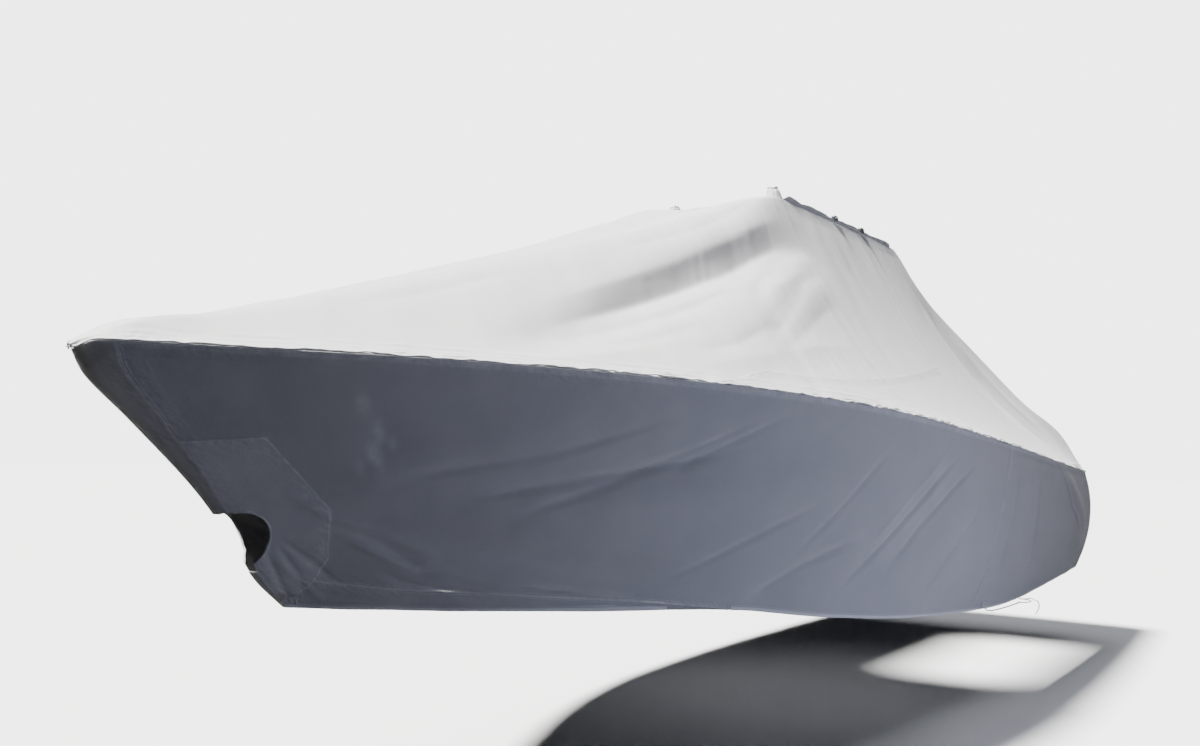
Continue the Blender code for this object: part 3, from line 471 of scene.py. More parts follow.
    def skirt(self, along: Array, down: Array) -> Array:
        """The skirt, down from the sheer at 0 to the hem at 1.

        Args:
            along: the place along the sheer.
            down: the share of the way down.

        Returns:
            Out, aft and up.
        """
        along, down = np.broadcast_arrays(np.asarray(along, float), np.asarray(down, float))
        head, foot = self.sheer_point(along), self.hem_point(along)
        step = 0.002
        near = np.clip(along, step, self.loop_end - step)
        run = (self.sheer_point(near + step) - self.sheer_point(near - step))[..., :2]
        run = unit(run)
        outward = np.stack([run[..., 1], -run[..., 0], np.zeros_like(along)], -1)
        points = head + (foot - head) * down[..., None]
        points = points + outward * (self.belly_of(along) * 4 * down * (1 - down))[..., None]
        points[..., 1] += self.stem_offset(down) * (1 - smooth_step(along / self.stem_reach))
        return points

    def top(self, along: Array, across: Array) -> Array:
        """The top, across from the shoulder at 0 to the sheer at 1, with the centreline at -1.

        Args:
            along: the place along the sheer.
            across: the share of the way across.

        Returns:
            Out, aft and up.
        """
        along, across = np.broadcast_arrays(np.asarray(along, float), np.asarray(across, float))
        aft = self.shoulder_aft(along)
        out, up = self.shoulder_out(aft), self.shoulder_up(aft)
        edge = self.sheer_point(np.minimum(along, self.stern_aft))
        side = np.clip(across, 0.0, 1.0)
        inboard = 1 + np.minimum(across, 0.0)
        drop = up - edge[..., 2]
        sag = self.sag_of(aft)
        falling = edge[..., 2] + drop * ((1 - side) - 4 * sag * side * (1 - side))
        slope = drop * (1 + 4 * sag) / np.maximum(edge[..., 0] - out, 0.01)
        falling = falling + slope * out * (1 - inboard)
        crown = 1 - inboard * inboard
        level = up - self.dip_of(aft) * crown
        soft = self.softness_of(aft)
        in_neck = smooth_step((along - self.neck_start) / 0.07) * smooth_step((self.neck_end - along) / 0.07)
        in_neck = np.where(across >= 0, in_neck, 0.0)
        ridge = np.minimum(level, falling) - soft * np.log1p(np.exp(-np.abs(level - falling) / soft))
        ridge = ridge + self.ridge_lift * soft * (1 - np.clip(across, -1.0, 1.0) ** 2) ** 2
        aft_share = smooth_step((aft - self.neck_end) / (self.stern_aft - self.neck_end))
        return np.stack(
            [
                np.where(across < 0, out * inboard, out + (edge[..., 0] - out) * side),
                aft + (edge[..., 1] - aft) * side + self.transom_camber_aft * aft_share * crown,
                ridge + (falling - ridge) * in_neck,
            ],
            -1,
        )

    @staticmethod
    def normal(surface: Surface, along: Array, second: Array) -> Array:
        """The surface's outward normal.

        Args:
            surface: the skirt or the top.
            along: the place along the sheer.
            second: the share down or across.

        Returns:
            Unit vectors.
        """
        step = 0.002
        by_along = surface(along + step, second) - surface(along - step, second)
        by_second = surface(along, second + step) - surface(along, second - step)
        return unit(np.cross(by_second, by_along))

    def find_on_skirt(self, aft: float, up: float) -> tuple[float, float]:
        """The skirt's place here in side view.

        Args:
            aft: distance aft.
            up: distance up.

        Returns:
            Along and down.
        """
        along, down = 0.2, 0.7
        step = 1e-4
        for _ in range(12):
            here = self.skirt(along, down)[1:]
            by_along = (self.skirt(along + step, down)[1:] - here) / step
            by_down = (self.skirt(along, down + step)[1:] - here) / step
            change = np.linalg.solve(np.stack([by_along, by_down], 1), np.array([aft, up]) - here)
            along = float(np.clip(along + change[0], 0.0, self.stern_aft))
            down = float(np.clip(down + change[1], 0.0, 1.0))
        return along, down


# ---------------------------------------------------------------- folds


@dataclass
class Folds:
    """Every fold of the cloth: its main ones, and the finer ones, waves and puckers on them."""

    lines: BoatLines
    main_top: Rows = (
        (+1, 4.66, 0.640, 1.30, 0.690, 0.105, -0.059),
        (+1, 4.75, 0.70, 2.40, 1.00, 0.150, 0.024),
        (+1, 4.75, 0.74, 3.30, 1.22, 0.110, -0.004),
        (+1, 4.40, 0.44, 2.60, 0.30, 0.120, -0.026),
        (+1, 5.00, 0.72, 4.75, 1.34, 0.110, -0.006),
        (+1, 6.90, 0.62, 7.90, 1.10, 0.120, -0.030),
        (-1, 4.62, 0.60, 1.90, 0.52, 0.140, -0.060),
        (-1, 4.75, 0.74, 2.90, 1.10, 0.120, 0.034),
        (-1, 4.80, 0.74, 3.90, 1.28, 0.090, -0.022),
        (-1, 5.40, 0.70, 5.20, 1.34, 0.110, -0.018),
        (-1, 6.90, 0.62, 8.20, 1.14, 0.130, -0.030),
    )
    main_skirt: Rows = (
        (+1, 1.30, -0.55, 3.30, -0.30, 0.110, -0.020),
        (+1, 1.55, -0.66, 3.90, -0.46, 0.110, 0.018),
        (+1, 1.00, -0.66, 2.90, -1.06, 0.090, -0.032),
        (+1, 1.15, -0.86, 2.80, -1.18, 0.080, 0.020),
        (+1, 3.00, -1.16, 3.80, -0.76, 0.110, -0.018),
        (+1, 3.70, -1.20, 5.40, -0.38, 0.130, -0.024),
        (+1, 4.40, -1.05, 5.60, -0.62, 0.110, 0.018),
        (+1, 8.05, -0.44, 9.00, -1.10, 0.110, 0.022),
        (-1, 1.20, -0.60, 3.00, -0.36, 0.110, -0.020),
        (-1, 1.10, -0.72, 2.90, -1.08, 0.100, -0.028),
        (-1, 3.40, -1.20, 4.90, -0.45, 0.130, -0.022),
        (-1, 4.60, -1.18, 5.80, -0.55, 0.110, 0.018),
        (-1, 7.80, -0.44, 8.80, -1.15, 0.110, 0.022),
    )
    fade: float = 0.10
    comes_in: tuple[float, float] = (-0.10, 0.26)
    goes_out: tuple[float, float] = (0.58, 1.08)
    top_creases: tuple[Crease, ...] = (
        Crease(
            ((4.50, 0.535), (4.20, 0.545), (3.60, 0.555), (3.00, 0.56), (2.30, 0.54), (1.70, 0.52)),
            0.042,
            0.015,
            1.8,
        ),
        Crease(((4.40, 0.44), (3.93, 0.45), (3.43, 0.46), (2.86, 0.42), (2.40, 0.40)), 0.050, -0.009),
        Crease(((4.30, 0.22), (3.70, 0.26), (3.00, 0.24), (2.30, 0.20)), 0.060, -0.007, 1.4),
        Crease(((4.62, 0.62), (4.07, 0.69), (3.69, 0.74), (3.45, 0.81), (3.22, 0.87)), 0.030, -0.010, 1.6),
        Crease(((4.60, 0.72), (3.98, 0.81), (3.66, 0.87), (3.46, 0.91), (3.20, 0.97)), 0.028, -0.008, 1.5),
        Crease(((4.15, 0.80), (3.73, 0.89), (3.42, 0.96), (3.10, 1.02)), 0.026, -0.007),
        Crease(((4.60, 0.84), (3.95, 0.95), (3.46, 1.04), (3.05, 1.10)), 0.030, -0.005, 1.4),
        Crease(((3.85, 0.69), (3.14, 0.75), (2.72, 0.76), (2.30, 0.74)), 0.034, -0.009, 1.6),
        Crease(((3.50, 0.93), (2.93, 0.98), (2.50, 0.96)), 0.030, -0.007),
        Crease(((2.80, 0.86), (2.24, 0.83), (1.85, 0.76)), 0.034, -0.007),
        Crease(((4.30, 0.72), (3.95, 0.765), (3.55, 0.81)), 0.022, 0.006),
        Crease(((2.30, 1.02), (3.00, 1.06), (3.77, 1.06), (4.50, 1.05)), 0.055, 0.007),
        Crease(
            ((4.50, 0.625), (3.93, 0.650), (3.38, 0.672), (2.81, 0.662), (2.25, 0.640), (1.60, 0.620)),
            0.025,
            -0.016,
            1.3,
        ),
        Crease(
            ((4.70, 0.670), (3.93, 0.712), (3.38, 0.735), (2.81, 0.725), (2.25, 0.700), (1.60, 0.68)),
            0.034,
            0.011,
            1.5,
        ),
        Crease(((0.30, 0.10), (0.16, 0.05), (0.05, 0.01)), 0.016, -0.004),
        Crease(((5.25, 0.52), (5.45, 0.82), (5.60, 1.15)), 0.060, -0.008, 1.5),
        Crease(((5.75, 0.50), (5.95, 0.80), (6.05, 1.15)), 0.055, 0.007),
        Crease(((2.00, 0.34), (1.40, 0.30), (0.80, 0.22)), 0.050, -0.006),
        Crease(((2.60, 0.76), (1.90, 0.70), (1.30, 0.56)), 0.055, -0.007, 1.5),
        Crease(((2.30, 0.90), (1.60, 0.78), (1.05, 0.55)), 0.035, 0.004),
        Crease(((6.62, 0.55), (7.10, 0.78), (7.70, 1.05)), 0.045, -0.010, 1.6),
        Crease(((6.60, 0.60), (6.75, 0.90), (6.85, 1.20)), 0.050, -0.008),
        Crease(((7.30, 0.66), (8.00, 0.98), (8.70, 1.20)), 0.040, 0.008),
        Crease(((7.00, 0.30), (7.80, 0.40), (8.70, 0.55)), 0.070, -0.010),
        Crease(((7.60, 0.95), (8.10, 1.15), (8.60, 1.28)), 0.030, -0.006),
    )
    skirt_creases: tuple[Crease, ...] = (
        Crease(
            ((0.97, -0.57), (1.08, -0.50), (1.33, -0.44), (1.75, -0.37), (2.10, -0.25), (2.39, -0.16)),
            0.020,
            -0.0136,
            1.6,
        ),
        Crease(
            ((1.30, -0.58), (1.57, -0.54), (1.89, -0.49), (2.41, -0.41), (2.86, -0.32)),
            0.019,
            -0.0170,
            1.7,
        ),
        Crease(((1.60, -0.65), (2.01, -0.52), (2.48, -0.34), (2.97, -0.11)), 0.022, -0.0119),
        Crease(
            ((1.02, -0.67), (1.18, -0.76), (1.35, -0.85), (1.77, -0.94), (2.16, -1.01), (2.60, -1.07)),
            0.014,
            -0.0255,
            1.8,
        ),
        Crease(
            ((0.86, -0.66), (1.03, -0.71), (1.22, -0.80), (1.43, -0.87), (1.68, -0.92), (2.10, -0.98)),
            0.016,
            0.0170,
        ),
        Crease(
            ((1.10, -0.80), (1.30, -0.90), (1.60, -0.965), (2.10, -1.035), (2.70, -1.10)),
            0.015,
            -0.0136,
        ),
        Crease(((0.88, -0.61), (1.04, -0.66), (1.25, -0.74), (1.46, -0.83)), 0.014, 0.0102),
        Crease(((0.75, -0.51), (0.84, -0.56), (0.98, -0.64)), 0.015, 0.0056),
        Crease(((0.80, -0.72), (0.92, -0.86), (0.98, -0.97)), 0.010, -0.0070),
        Crease(((0.80, -0.70), (0.94, -0.80), (1.10, -0.92)), 0.011, -0.0070),
        Crease(((0.78, -0.76), (0.86, -0.88), (0.93, -0.97)), 0.009, -0.0070),
        Crease(((0.81, -0.78), (0.96, -0.90), (1.06, -0.98)), 0.009, 0.0056),
        Crease(((0.74, -0.60), (0.86, -0.55), (1.00, -0.53)), 0.012, -0.0056),
        Crease(((3.01, -1.10), (3.43, -0.93), (3.95, -0.78)), 0.019, -0.0153, 1.5),
        Crease(
            ((3.65, -1.14), (4.02, -0.94), (4.36, -0.72), (4.75, -0.50), (5.22, -0.27)),
            0.018,
            -0.0204,
            1.7,
        ),
        Crease(((4.17, -1.06), (4.56, -0.80), (5.13, -0.52), (5.57, -0.31)), 0.017, -0.0153, 1.5),
        Crease(((3.29, -0.90), (3.60, -0.65), (4.09, -0.26)), 0.020, -0.0119),
        Crease(((2.31, -0.48), (2.71, -0.29), (3.06, -0.13)), 0.018, -0.0102),
        Crease(((2.38, -1.00), (2.68, -0.89), (3.08, -0.73), (3.48, -0.59)), 0.020, -0.0119),
        Crease(((4.70, -1.22), (5.10, -0.95), (5.60, -0.66)), 0.018, -0.0119),
        Crease(((3.90, -0.90), (4.40, -0.55), (4.90, -0.28)), 0.018, 0.0070),
        Crease(((6.42, -0.45), (6.30, -0.80), (6.05, -1.25)), 0.022, -0.0153, 1.6),
        Crease(((7.10, -0.50), (6.95, -0.85), (6.90, -1.25)), 0.031, -0.0136),
        Crease(((7.95, -0.42), (8.20, -0.74), (8.75, -1.05)), 0.015, 0.0102),
    )
    other_side: Triple = (-0.14, 0.02, 0.85)
    top_waves: tuple[Ripples, ...] = (
        Ripples(11, 0.16, 0.90, 0.0030),
        Ripples(12, 0.055, 0.35, 0.0012),
    )
    skirt_waves: tuple[Ripples, ...] = (
        Ripples(21, 0.85, 0.10, 0.0034, 24.0),
        Ripples(22, 0.40, 0.045, 0.0012, 34.0),
    )
    pucker: Ripples = Ripples(31, 0.045, 0.060, 1.0, 18.0)
    pucker_depth: float = 0.0072
    bunches: Ripples = Ripples(33, 0.34, 9.0, 1.0)
    sheer_ridges: Rows = ((0.020, 0.0042, 0.007), (0.046, 0.0034, 0.010), (0.085, 0.0026, 0.014))
    ridge_waves: Ripples = Ripples(41, 0.07, 1.0, 1.0)
    nose_pleats: Ripples = Ripples(35, 0.40, 0.30, 1.0)
    nose_reach: float = 0.10
    nose_depth: float = 0.003
    seam_relief: float = 0.0016
    seam_band: float = 0.009

    def main_height(self, points: Array, table: Rows, side: Side, column: int) -> Array:
        """How far the main folds of one side move the cloth.

        Args:
            points: out, aft and up.
            table: the folds.
            side: the side.
            column: 0 where the folds' second place is out, 2 where it is up.

        Returns:
            The height at each point.
        """
        first, second = points[..., 1], points[..., column]
        total = np.zeros_like(first)
        for fold_side, start_a, start_b, end_a, end_b, width, depth in table:
            if fold_side != side.value:
                continue
            run_a, run_b = end_a - start_a, end_b - start_b
            share = ((first - start_a) * run_a + (second - start_b) * run_b) / (run_a**2 + run_b**2)
            nearest = np.clip(share, 0.0, 1.0)
            away = np.hypot(first - start_a - nearest * run_a, second - start_b - nearest * run_b)
            coming = smooth_step((share - self.comes_in[0]) / (self.comes_in[1] - self.comes_in[0]))
            going = smooth_step((self.goes_out[1] - share) / (self.goes_out[1] - self.goes_out[0]))
            total += depth * coming * going * bell(away, width)
        return total

    def crease_height(self, points: Array, creases: Sequence[Crease], side: Side, column: int) -> Array:
        """How far the finer creases move the cloth; the unseen side's lie a little differently.

        Args:
            points: out, aft and up.
            creases: the port side's creases.
            side: the side.
            column: 0 where the creases' second place is out, 2 where it is up.

        Returns:
            The height at each point.
        """
        total = np.zeros(points.shape[:-1])
        for crease in creases:
            own = crease if side is Side.PORT else crease.shifted(*self.other_side)
            total += own.height(points[..., 1], points[..., column])
        return total

    def edge_height(self, distance: Array, along: Array, shift: float) -> Array:
        """The raised band of a sewn seam and the puckers beside it.

        Args:
            distance: the distance from the seam.
            along: the distance along the seam.
            shift: sets this seam's puckers apart from another's.

        Returns:
            The height at each point.
        """
        band = self.seam_relief * (1 - smooth_step((distance - self.seam_band) / 0.004))
        near = smooth_step(distance / 0.012) * np.exp(-distance / 0.045)
        bunched = 0.65 + 0.75 * self.bunches.at(along + shift, distance * 0)
        return band + self.pucker_depth * near * bunched * self.pucker.at(along + shift, distance)

    def nose_height(self, out: Array, back: Array, side: Side) -> Array:
        """The small pleats that fan out from the nose.

        Args:
            out: the distance out from the centreline.
            back: the distance back from the nose, along the cloth.
            side: the side.

        Returns:
            The height at each point.
        """
        away = np.hypot(out, back)
        share = away / self.nose_reach
        turned = np.arctan2(np.maximum(out, 0.0), np.maximum(back, 0.0) + 1e-6)
        swell = self.nose_depth * share * np.exp(1 - share)
        return swell * self.nose_pleats.at(turned + 3 * side.value, away)

    def top(self, along: Array, across: Array, side: Side, puckered: Array | None = None) -> Array:
        """The dressed top, port-handed.

        Args:
            along: the place along the sheer.
            across: the share across.
            side: whose folds it has.
            puckered: the distance of each point from the sheer, where it has puckers.

        Returns:
            Out, aft and up.
        """
        surface = self.lines.top
        points = surface(along, across)
        middle = (self.lines.neck_start + self.lines.neck_end) / 2
        reach = (self.lines.neck_end - self.lines.neck_start) / 2 + 0.15
        beside_neck = smooth_step((reach - np.abs(along - middle)) / 0.15)
        centre = smooth_step(points[..., 0] / self.fade)
        neck = 1 - beside_neck * (1 - smooth_step(across / self.fade))
        sheer = smooth_step((1 - across) * 6)
        height = self.main_height(points, self.main_top, side, 0) * centre * neck * sheer
        reach_out = points[..., 0] - self.lines.shoulder_out(self.lines.shoulder_aft(along))
        fine = self.crease_height(points, self.top_creases, side, 0)
        for wave in self.top_waves:
            fine = fine + wave.at(along + 7 * side.value, reach_out)
        near_edge = smooth_step((1 - across) * 14)
        height = height + fine * smooth_step(points[..., 0] / 0.05) * neck * near_edge
        if puckered is not None:
            ridge = sum(depth * bell(puckered - place, width) for place, depth, width in self.sheer_ridges)
            ridge = ridge * (1 + 0.8 * smooth_step((along - 2.0) / 4.0))
            uneven = 1 + 1.1 * self.ridge_waves.at(along, puckered * 0)
            pleats = self.nose_height(points[..., 0], points[..., 1], side)
            height = height + pleats * smooth_step(points[..., 0] / 0.02)
            height = height + ridge * uneven + self.edge_height(puckered, along, 3.0 * side.value)
        seam = np.abs(along - self.lines.joining_seam)
        height = height + self.edge_height(seam, reach_out, 9.0 * side.value) * near_edge * neck
        return points + self.lines.normal(surface, along, across) * height[..., None]

    def skirt(self, along: Array, down: Array, side: Side) -> Array:
        """The dressed skirt, port-handed.

        Args:
            along: the place along the sheer.
            down: the share of the way down.
            side: whose folds it has.

        Returns:
            Out, aft and up.
        """
        surface = self.lines.skirt
        along, down = np.broadcast_arrays(np.asarray(along, float), np.asarray(down, float))
        points = surface(along, down)
        stern = smooth_step((self.lines.stern_aft - along) * 3)
        height = self.main_height(points, self.main_skirt, side, 2)
        height = height * smooth_step(down * 8) * smooth_step(along * 3) * stern
        fine = self.crease_height(points, self.skirt_creases, side, 2)
        for wave in self.skirt_waves:
            fine = fine + wave.at(points[..., 1] + 5 * side.value, points[..., 2])
        fine = fine * (0.3 + 0.7 * smooth_step((self.lines.stern_aft - along) * 1.4))
        fine = fine * smooth_step(down * 14) * smooth_step(along / 0.06)
        fine = fine * smooth_step((self.lines.loop_end - along) * 5)
        depth = down * np.linalg.norm(self.lines.hem_point(along) - self.lines.sheer_point(along), axis=-1)
        sewn = self.edge_height(depth, along, 5.0 * side.value)
        height = height + fine + 0.45 * sewn * smooth_step(along / 0.1)
        pleats = self.nose_height(along, depth, side)
        height = height + 0.6 * pleats * smooth_step(depth / 0.03) * smooth_step(along / 0.03)
        seam = np.abs(along - self.lines.joining_seam)
        height = height + self.edge_height(seam, depth, 9.0 * side.value) * smooth_step(depth / 0.03)
        return points + self.lines.normal(surface, along, down) * height[..., None]


# ---------------------------------------------------------------- finishes


class Board:
    """A material's nodes, added and joined in short calls."""

    def __init__(self, name: str) -> None:
        """Starts a material with one shader.

        Args:
            name: the material's name.
        """
        self.material = bpy.data.materials.new(name)
        self.material.use_nodes = True
        self.tree = self.material.node_tree
        self.shader = self.tree.nodes["Principled BSDF"]

    def join(self, source: Socket | float, target: Socket) -> None:
        """Joins a socket to another, or sets a number on it.

        Args:
            source: a socket or a number.
            target: the socket that takes it.
        """
        if isinstance(source, Socket):
            self.tree.links.new(source, target)
        else:
            target.default_value = source

    def math(self, operation: str, first: object, second: object = 0.0) -> Socket:
        """A sum on two values.

        Args:
            operation: the Math node's operation.
            first: a socket or a number.
            second: a socket or a number.

        Returns:
            The result's socket.
        """
        node = self.tree.nodes.new("ShaderNodeMath")
        node.operation = operation
        self.join(first, node.inputs[0])
        self.join(second, node.inputs[1])
        return node.outputs[0]

    def add(self, first: object, second: object) -> Socket:
        """The sum of two values."""
        return self.math("ADD", first, second)

    def times(self, first: object, second: object) -> Socket:
        """The product of two values."""
        return self.math("MULTIPLY", first, second)

    def object_place(self) -> Socket:
        """The place on the object, in metres."""
        return self.tree.nodes.new("ShaderNodeTexCoord").outputs["Object"]

    def cloth_place(self) -> tuple[Socket, Socket, Socket]:
        """The place on the flat cloth, as a vector and its two parts in metres.

        Returns:
            The vector's socket and those of its two parts.
        """
        uv = self.tree.nodes.new("ShaderNodeUVMap")
        uv.uv_map = "cloth"
        parts = self.tree.nodes.new("ShaderNodeSeparateXYZ")
        self.join(uv.outputs[0], parts.inputs[0])
        return uv.outputs[0], parts.outputs[0], parts.outputs[1]

    def attribute(self, name: str) -> bpy.types.Node:
        """The node that reads a named attribute of the mesh.

        Args:
            name: the attribute's name.

        Returns:
            The node.
        """
        node = self.tree.nodes.new("ShaderNodeAttribute")
        node.attribute_name = name
        return node

    def noise(self, place: Socket, scale: float, detail: float = 2.0) -> Socket:
        """Cloudy values from 0 to 1.

        Args:
            place: where it is read.
            scale: clouds per metre.
            detail: how many finer layers it has.

        Returns:
            The value's socket.
        """
        node = self.tree.nodes.new("ShaderNodeTexNoise")
        self.join(place, node.inputs["Vector"])
        node.inputs["Scale"].default_value = scale
        node.inputs["Detail"].default_value = detail
        return node.outputs[0]

    def stretch(self, value: object, low: float, high: float, start: float, end: float) -> Socket:
        """A value moved from one range to another and held there.

        Args:
            value: a socket.
            low: the first range's start.
            high: the first range's end.
            start: the second range's start.
            end: the second range's end.

        Returns:
            The result's socket.
        """
        node = self.tree.nodes.new("ShaderNodeMapRange")
        for place, number in enumerate((low, high, start, end), 1):
            node.inputs[place].default_value = number
        self.join(value, node.inputs[0])
        return node.outputs[0]

    def blend(self, share: object, first: object, second: object) -> Socket:
        """A colour between two others.

        Args:
            share: a socket or a number, 0 for the first colour.
            first: a socket or a colour.
            second: a socket or a colour.

        Returns:
            The colour's socket.
        """
        node = self.tree.nodes.new("ShaderNodeMix")
        node.data_type = "RGBA"
        self.join(share, node.inputs[0])
        for colour, target in ((first, node.inputs[6]), (second, node.inputs[7])):
            self.join((*colour, 1.0) if isinstance(colour, tuple) else colour, target)
        return node.outputs[2]

    def paint(self, share: object, first: object, second: object) -> None:
        """Gives the shader a colour between two others."""
        self.join(self.blend(share, first, second), self.shader.inputs["Base Color"])

    def relief(self, height: Socket, depth: float) -> None:
        """Gives the shader a bump, after any that it has.

        Args:
            height: the height's socket, from 0 to 1.
            depth: its depth in metres.
        """
        node = self.tree.nodes.new("ShaderNodeBump")
        node.inputs["Distance"].default_value = depth
        self.join(height, node.inputs["Height"])
        target = self.shader.inputs["Normal"]
        if target.is_linked:
            self.tree.links.new(target.links[0].from_socket, node.inputs["Normal"])
        self.tree.links.new(node.outputs[0], target)

    def set(self, **values: float) -> None:
        """Sets the shader's own sockets, their names in lower case."""
        for name, value in values.items():
            self.shader.inputs[name.replace("_", " ").title().replace("Ior", "IOR")].default_value = value


@dataclass(frozen=True)
class CanvasFinish:
    """Woven marine canvas: plain weave, double rows of stitches, dust, damp marks and pale rubbing, with
    painted highlights along its sewn edges, below the sheer and on the hem, and painted shade under the
    sheer.
    """

    name: str
    colour: Triple = (0.585, 0.580, 0.580)
    dusk: Triple = (0.475, 0.475, 0.485)
    rubbed_and_lit: Triple = (0.80, 0.80, 0.79)
    thread: Triple = (0.86, 0.86, 0.85)
    hem_highlight: Triple = (0.93, 0.93, 0.92)
    weave: float = 0.0016
    rows: tuple[float, ...] = (0.0040, 0.0125)
    hem_row: float = 0.024
    stitch: float = 0.0090
    roughness: float = 0.86

    def build(self) -> Material:
        """Makes the material.

        Returns:
            The material.
        """
        board = Board(self.name)
        place = board.object_place()
        flat, along, down = board.cloth_place()
        turn = 2 * math.pi / self.weave
        warp = board.math("SINE", board.times(along, turn))
        weft = board.math("SINE", board.times(down, turn))
        woven = board.math("MULTIPLY_ADD", board.times(warp, weft), 0.5)
        board.tree.nodes[-1].inputs[2].default_value = 0.5
        yarn = board.noise(flat, 420.0, 2.0)
        broad = board.noise(place, 0.75, 3.0)
        clouds = board.noise(place, 5.5, 4.0)
        wear_and_painted_light = board.tree.nodes.new("ShaderNodeSeparateColor")
        board.join(board.attribute("wear_and_painted_light").outputs["Color"], wear_and_painted_light.inputs[0])

        faded = board.stretch(broad, 0.3, 0.7, 0.0, 0.22)
        clouded = board.stretch(clouds, 0.3, 0.7, 0.0, 0.12)
        shade = board.add(board.add(faded, clouded), board.stretch(yarn, 0.3, 0.7, 0.0, 0.14))
        # the second wear share darkens the cloth: dust streaks, and painted shade under the welt
        shade = board.add(shade, board.times(wear_and_painted_light.outputs[1], board.stretch(clouds, 0.3, 0.7, 0.5, 1.0)))
        colour = board.blend(shade, self.colour, self.dusk)
        # the first wear share makes the cloth paler: rubbing, and the painted highlight below the sheer
        scuffs = board.stretch(board.noise(place, 14.0, 4.0), 0.35, 0.65, 0.35, 1.0)
        rub_and_highlight = board.times(wear_and_painted_light.outputs[0], scuffs)
        edge = board.attribute("edge").outputs["Fac"]
        hem = board.attribute("hem").outputs["Fac"]
        # paler within a few millimetres of every sewn edge: partly rubbing, partly painted highlight on the
        # raised edges
        worn_and_lit = board.stretch(edge, 0.001, 0.008, 0.9, 0.0)
        worn_and_lit = board.times(worn_and_lit, board.stretch(board.noise(place, 30.0, 3.0), 0.35, 0.6, 0.45, 1.0))
        colour = board.blend(board.math("MAXIMUM", rub_and_highlight, worn_and_lit), colour, self.rubbed_and_lit)
        # a pale line along the hem: painted highlight where its rolled edge catches the light
        colour = board.blend(board.stretch(hem, 0.012, 0.020, 1.0, 0.0), colour, self.hem_highlight)

        dash = board.math("FRACT", board.math("DIVIDE", board.add(along, down), self.stitch))
        dash = board.math("LESS_THAN", dash, 0.66)
        sewn: object = 0.0
        for distance, row in [(edge, row) for row in self.rows] + [(hem, self.hem_row)]:
            off = board.math("ABSOLUTE", board.math("SUBTRACT", distance, row))
            sewn = board.math("MAXIMUM", sewn, board.stretch(off, 0.0005, 0.0012, 1.0, 0.0))
        sewn = board.times(sewn, dash)
        board.paint(sewn, colour, self.thread)

        rough = board.stretch(clouds, 0.3, 0.7, self.roughness - 0.04, self.roughness + 0.05)
        board.join(rough, board.shader.inputs["Roughness"])
        board.relief(woven, 0.00022)
        board.relief(board.noise(flat, 90.0, 3.0), 0.0005)
        board.relief(board.noise(place, 9.0, 2.0), 0.0018)
        gathered = board.times(board.noise(flat, 34.0, 2.0), board.stretch(edge, 0.0, 0.070, 1.0, 0.0))
        board.relief(gathered, 0.0070)
        board.relief(sewn, 0.0008)
        board.set(sheen_weight=0.12, sheen_roughness=0.5, specular_ior_level=0.25)
        return board.material


@dataclass(frozen=True)
class BindingFinish:
    """Woven edge binding: fine ribs across its length."""

    name: str
    colour: Triple = (0.66, 0.66, 0.66)
    dusk: Triple = (0.50, 0.50, 0.51)
    rib: float = 0.0022
    strength: float = 0.0003

    def build(self) -> Material:
        """Makes the material.

        Returns:
            The material.
        """
        board = Board(self.name)
        _, along, _ = board.cloth_place()
        place = board.object_place()
        ribs = board.math("SINE", board.times(along, 2 * math.pi / self.rib))
        clouds = board.noise(place, 22.0, 4.0)
        clouded = board.stretch(clouds, 0.3, 0.7, 0.0, 0.6)
        # the grooves between the ribs are darkened toward dusk: painted shade
        shade = board.add(clouded, board.stretch(ribs, -1.0, 1.0, 0.15, 0.0))
        board.paint(shade, self.colour, self.dusk)
        board.relief(board.stretch(ribs, -1.0, 1.0, 0.0, 1.0), self.strength)
        board.relief(board.noise(place, 70.0, 3.0), 0.0010)
        board.set(roughness=0.84, sheen_weight=0.1, specular_ior_level=0.25)
        return board.material


@dataclass(frozen=True)
class WebbingFinish:
    """Flat woven webbing with a herringbone of close ribs."""

    name: str
    colour: Triple = (0.30, 0.31, 0.33)
    worn_and_lit: Triple = (0.46, 0.47, 0.49)
    rib: float = 0.0030

    def build(self) -> Material:
        """Makes the material.

        Returns:
            The material.
        """
        board = Board(self.name)
        place = board.object_place()
        parts = board.tree.nodes.new("ShaderNodeSeparateXYZ")
        board.join(place, parts.inputs[0])
        slant = board.add(parts.outputs[1], board.math("ABSOLUTE", parts.outputs[2]))
        ribs = board.math("SINE", board.times(slant, 2 * math.pi / self.rib))
        clouds = board.noise(place, 60.0, 3.0)
        clouded = board.stretch(clouds, 0.35, 0.65, 0.0, 0.5)
        # the ribs' tops are lighter: painted highlight; the clouds are real wear
        shade = board.add(clouded, board.stretch(ribs, -1.0, 1.0, 0.0, 0.35))
        board.paint(shade, self.colour, self.worn_and_lit)
        board.relief(board.stretch(ribs, -1.0, 1.0, 0.0, 1.0), 0.0004)
        board.set(roughness=0.72, sheen_weight=0.15, specular_ior_level=0.3)
        return board.material


@dataclass(frozen=True)
class PlasticFinish:
    """Moulded black acetal, satin, a little dusty and scuffed."""

    name: str
    colour: Triple = (0.018, 0.019, 0.022)
    dust: Triple = (0.10, 0.105, 0.11)

    def build(self) -> Material:
        """Makes the material.

        Returns:
            The material.
        """
        board = Board(self.name)
        place = board.object_place()
        clouds = board.noise(place, 90.0, 4.0)
        board.paint(board.stretch(clouds, 0.45, 0.75, 0.0, 0.6), self.colour, self.dust)
        board.join(board.stretch(clouds, 0.3, 0.7, 0.30, 0.52), board.shader.inputs["Roughness"])
        board.relief(board.noise(place, 1400.0, 2.0), 0.0001)
        return board.material


